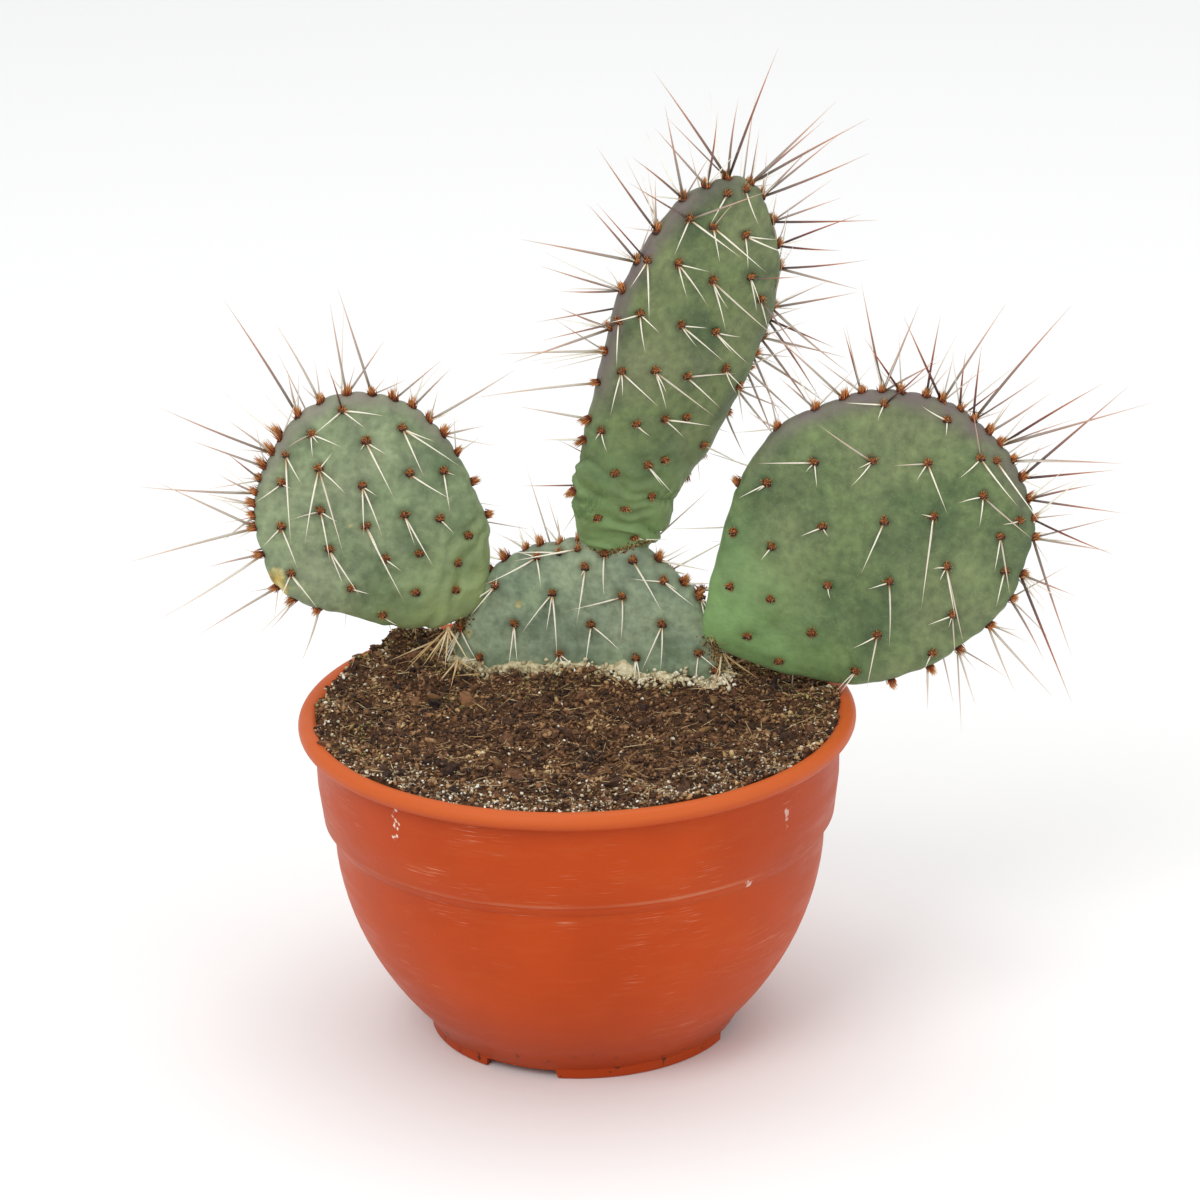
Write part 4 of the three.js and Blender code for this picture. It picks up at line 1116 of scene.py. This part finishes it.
def make_old_spines():
    """Straw-coloured old spines, with a few that have dropped on the soil beside the pad."""
    rng = random.Random(8)
    shapes = [needle(5, 4, bend) for bend in (0.5, 2.0, -3.0)]
    placed = []
    for (x, y, z), spines in OLD_SPINES:
        for length, aim, lean in spines:
            way = plane_aim(aim) * math.cos(radians(lean))
            way.y = -math.sin(radians(lean))
            at = Vector((x, y, z)) + Vector([rng.uniform(-1, 1) for _ in range(3)])
            kind = rng.randrange(len(shapes))
            spine_at = placement(at, way, 0.46, length, rng.uniform(0, 6))
            placed.append((kind, spine_at, rng.uniform(0.45, 1)))
    for _ in range(26):
        angle = rng.uniform(0, math.tau)
        x, y = mother_section(angle, rng.uniform(2, 12))
        away = Vector((rng.gauss(0, 1), rng.gauss(0, 1), 0)).normalized()
        at = Vector((x, y, soil_level(x, y) + 2))
        kind = rng.randrange(len(shapes))
        spine_at = placement(at, away, 0.36, rng.uniform(7, 15), rng.uniform(0, 6))
        placed.append((kind, spine_at, rng.uniform(0.2, 0.8)))
    straw = [(0.0, "#8A5F34"), (0.5, "#C4A06A"), (1.0, "#E8D8B0")]
    scatter("old_mother_pad_spines", shapes, placed, loose("dead_spines", 0.7, straw, 4.0), [])


# The joints where pads grew out of the mother pad, as lines of (across, height) seen from
# the front, with how far the cork spreads.
JOINTS = [([(-53, 151), (-46, 159)], 1.8), ([(-6, 202), (12, 194), (32, 198)], 0.8),
          ([(55, 160), (62, 146)], 1.8)]


def make_joint_crust():
    """Brown cork crumbs in the joints, laid on whatever pad is in front."""
    rng = random.Random(6)
    lumps = [crumb(1, 0.7, k + 40) for k in range(5)]
    depsgraph = bpy.context.evaluated_depsgraph_get()
    skins = [bvhtree.BVHTree.FromObject(bpy.data.objects[f"{name}_pad_flesh"], depsgraph)
             for name in PADS]
    far = 200  # where the search for the skin starts, in front and behind
    placed = []
    for line, spread in JOINTS:
        for _ in range(420):
            (x0, z0), (x1, z1) = rng.choice(list(zip(line, line[1:])))
            share = rng.random()
            x = x0 + (x1 - x0) * share + rng.gauss(0, spread)
            z = z0 + (z1 - z0) * share + rng.gauss(0, spread)
            for side in (-1, 1):
                start = TO_FRAME @ Vector((x, far * side, z))
                hits = [skin.ray_cast(start, Vector((0, -side, 0)), 0.4)[3] for skin in skins]
                depths = [hit for hit in hits if hit is not None]
                if not depths:
                    continue
                at = Vector((x, side * (far - min(depths) / MM), z))
                size = rng.uniform(0.15, 0.5)
                way = Vector((rng.gauss(0, 1), -1, rng.gauss(0, 1)))
                kind = rng.randrange(len(lumps))
                placed.append((kind, placement(at, way, size, size), rng.random()))
    brown = [(0.0, "#3E2412"), (0.45, "#75491F"), (0.8, "#A47C46"), (1.0, "#CDB27C")]
    scatter("joint_cork_crumbs", lumps, placed, loose("joint_cork", 0.95, brown, 1.5), [])


# ---- Everything -------------------------------------------------------------------

make_pot()
make_soil()
make_soil_litter()
make_crust()
make_old_spines()

SKINS = {
    "mother": pad_skin("old_pad_cuticle", "#899A79", "#677B63", "#A7AF93", "#847C6A", "#8E906A"),
    "left": pad_skin("grey_pad_cuticle", "#81926B", "#647755", "#A4A88A", "#857B72", "#93A46C"),
    "middle": pad_skin("middle_pad_cuticle", "#6B7A4C", "#4D5E3B", "#908F6E", "#6F6260", "#7A965E"),
    "right": pad_skin("right_pad_cuticle", "#697B4D", "#4F633D", "#8C9069", "#6F6260", "#81A466"),
}
glochid_material = bristle("glochid_bristle")
spine_material = horn("spine_horn")
for pad_name in PADS:
    make_pad(pad_name, SKINS[pad_name])
    make_glochids(pad_name, glochid_material)
    make_spines(pad_name, spine_material)
make_joint_crust()

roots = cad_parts["root_system"].data.materials
bark = root_bark()
for place in range(len(roots)):
    roots[place] = bark

# ---- Floor, light and camera ------------------------------------------------------

paper, _, _, _ = new_material("pale_paper", 0.9, 1.45)
paper.node_tree.nodes["Principled BSDF"].inputs["Base Color"].default_value = linear("#F4F4F3")
floor_mesh = bmesh.new()
bmesh.ops.create_grid(floor_mesh, x_segments=1, y_segments=1, size=12)
sheet = bpy.data.meshes.new("floor")
floor_mesh.to_mesh(sheet)
floor_mesh.free()
sheet.materials.append(paper)
floor = bpy.data.objects.new("floor", sheet)
bpy.context.scene.collection.objects.link(floor)


def soft_box(name, place, size, power):
    """A square studio light aimed at the plant."""
    lamp = bpy.data.lights.new(name, "AREA")
    lamp.size = size
    lamp.energy = power
    light = bpy.data.objects.new(name, lamp)
    light.location = place
    aim = Vector((0, 0, 0.18)) - light.location
    light.rotation_euler = aim.to_track_quat("-Z", "Y").to_euler()
    bpy.context.scene.collection.objects.link(light)


soft_box("key", Vector((-1.3, -1.9, 2.2)), 1.6, 34)
soft_box("fill", Vector((2.3, -1.6, 1.2)), 2.2, 14)
soft_box("top", Vector((0.1, 0.5, 2.6)), 2.4, 22)

world = bpy.data.worlds.new("studio")
bpy.context.scene.world = world
world.use_nodes = True
world.node_tree.nodes["Background"].inputs["Color"].default_value = linear("#FAFBFC")
world.node_tree.nodes["Background"].inputs["Strength"].default_value = 0.75

camera_data = bpy.data.cameras.new("camera")
camera_data.lens = 180
camera_data.sensor_width = 36
camera_data.clip_end = 60
camera = bpy.data.objects.new("camera", camera_data)
camera.matrix_world = (
    Matrix.Translation(Vector((AXIS.x, AXIS.y, 0)) + Vector((0.0105, -2.2889, 1.0645)))
    @ Matrix.Rotation(radians(90 - 21), 4, "X") @ Matrix.Rotation(radians(-1.3), 4, "Z"))
bpy.context.scene.collection.objects.link(camera)
bpy.context.scene.camera = camera
bpy.context.scene.view_settings.view_transform = "Standard"
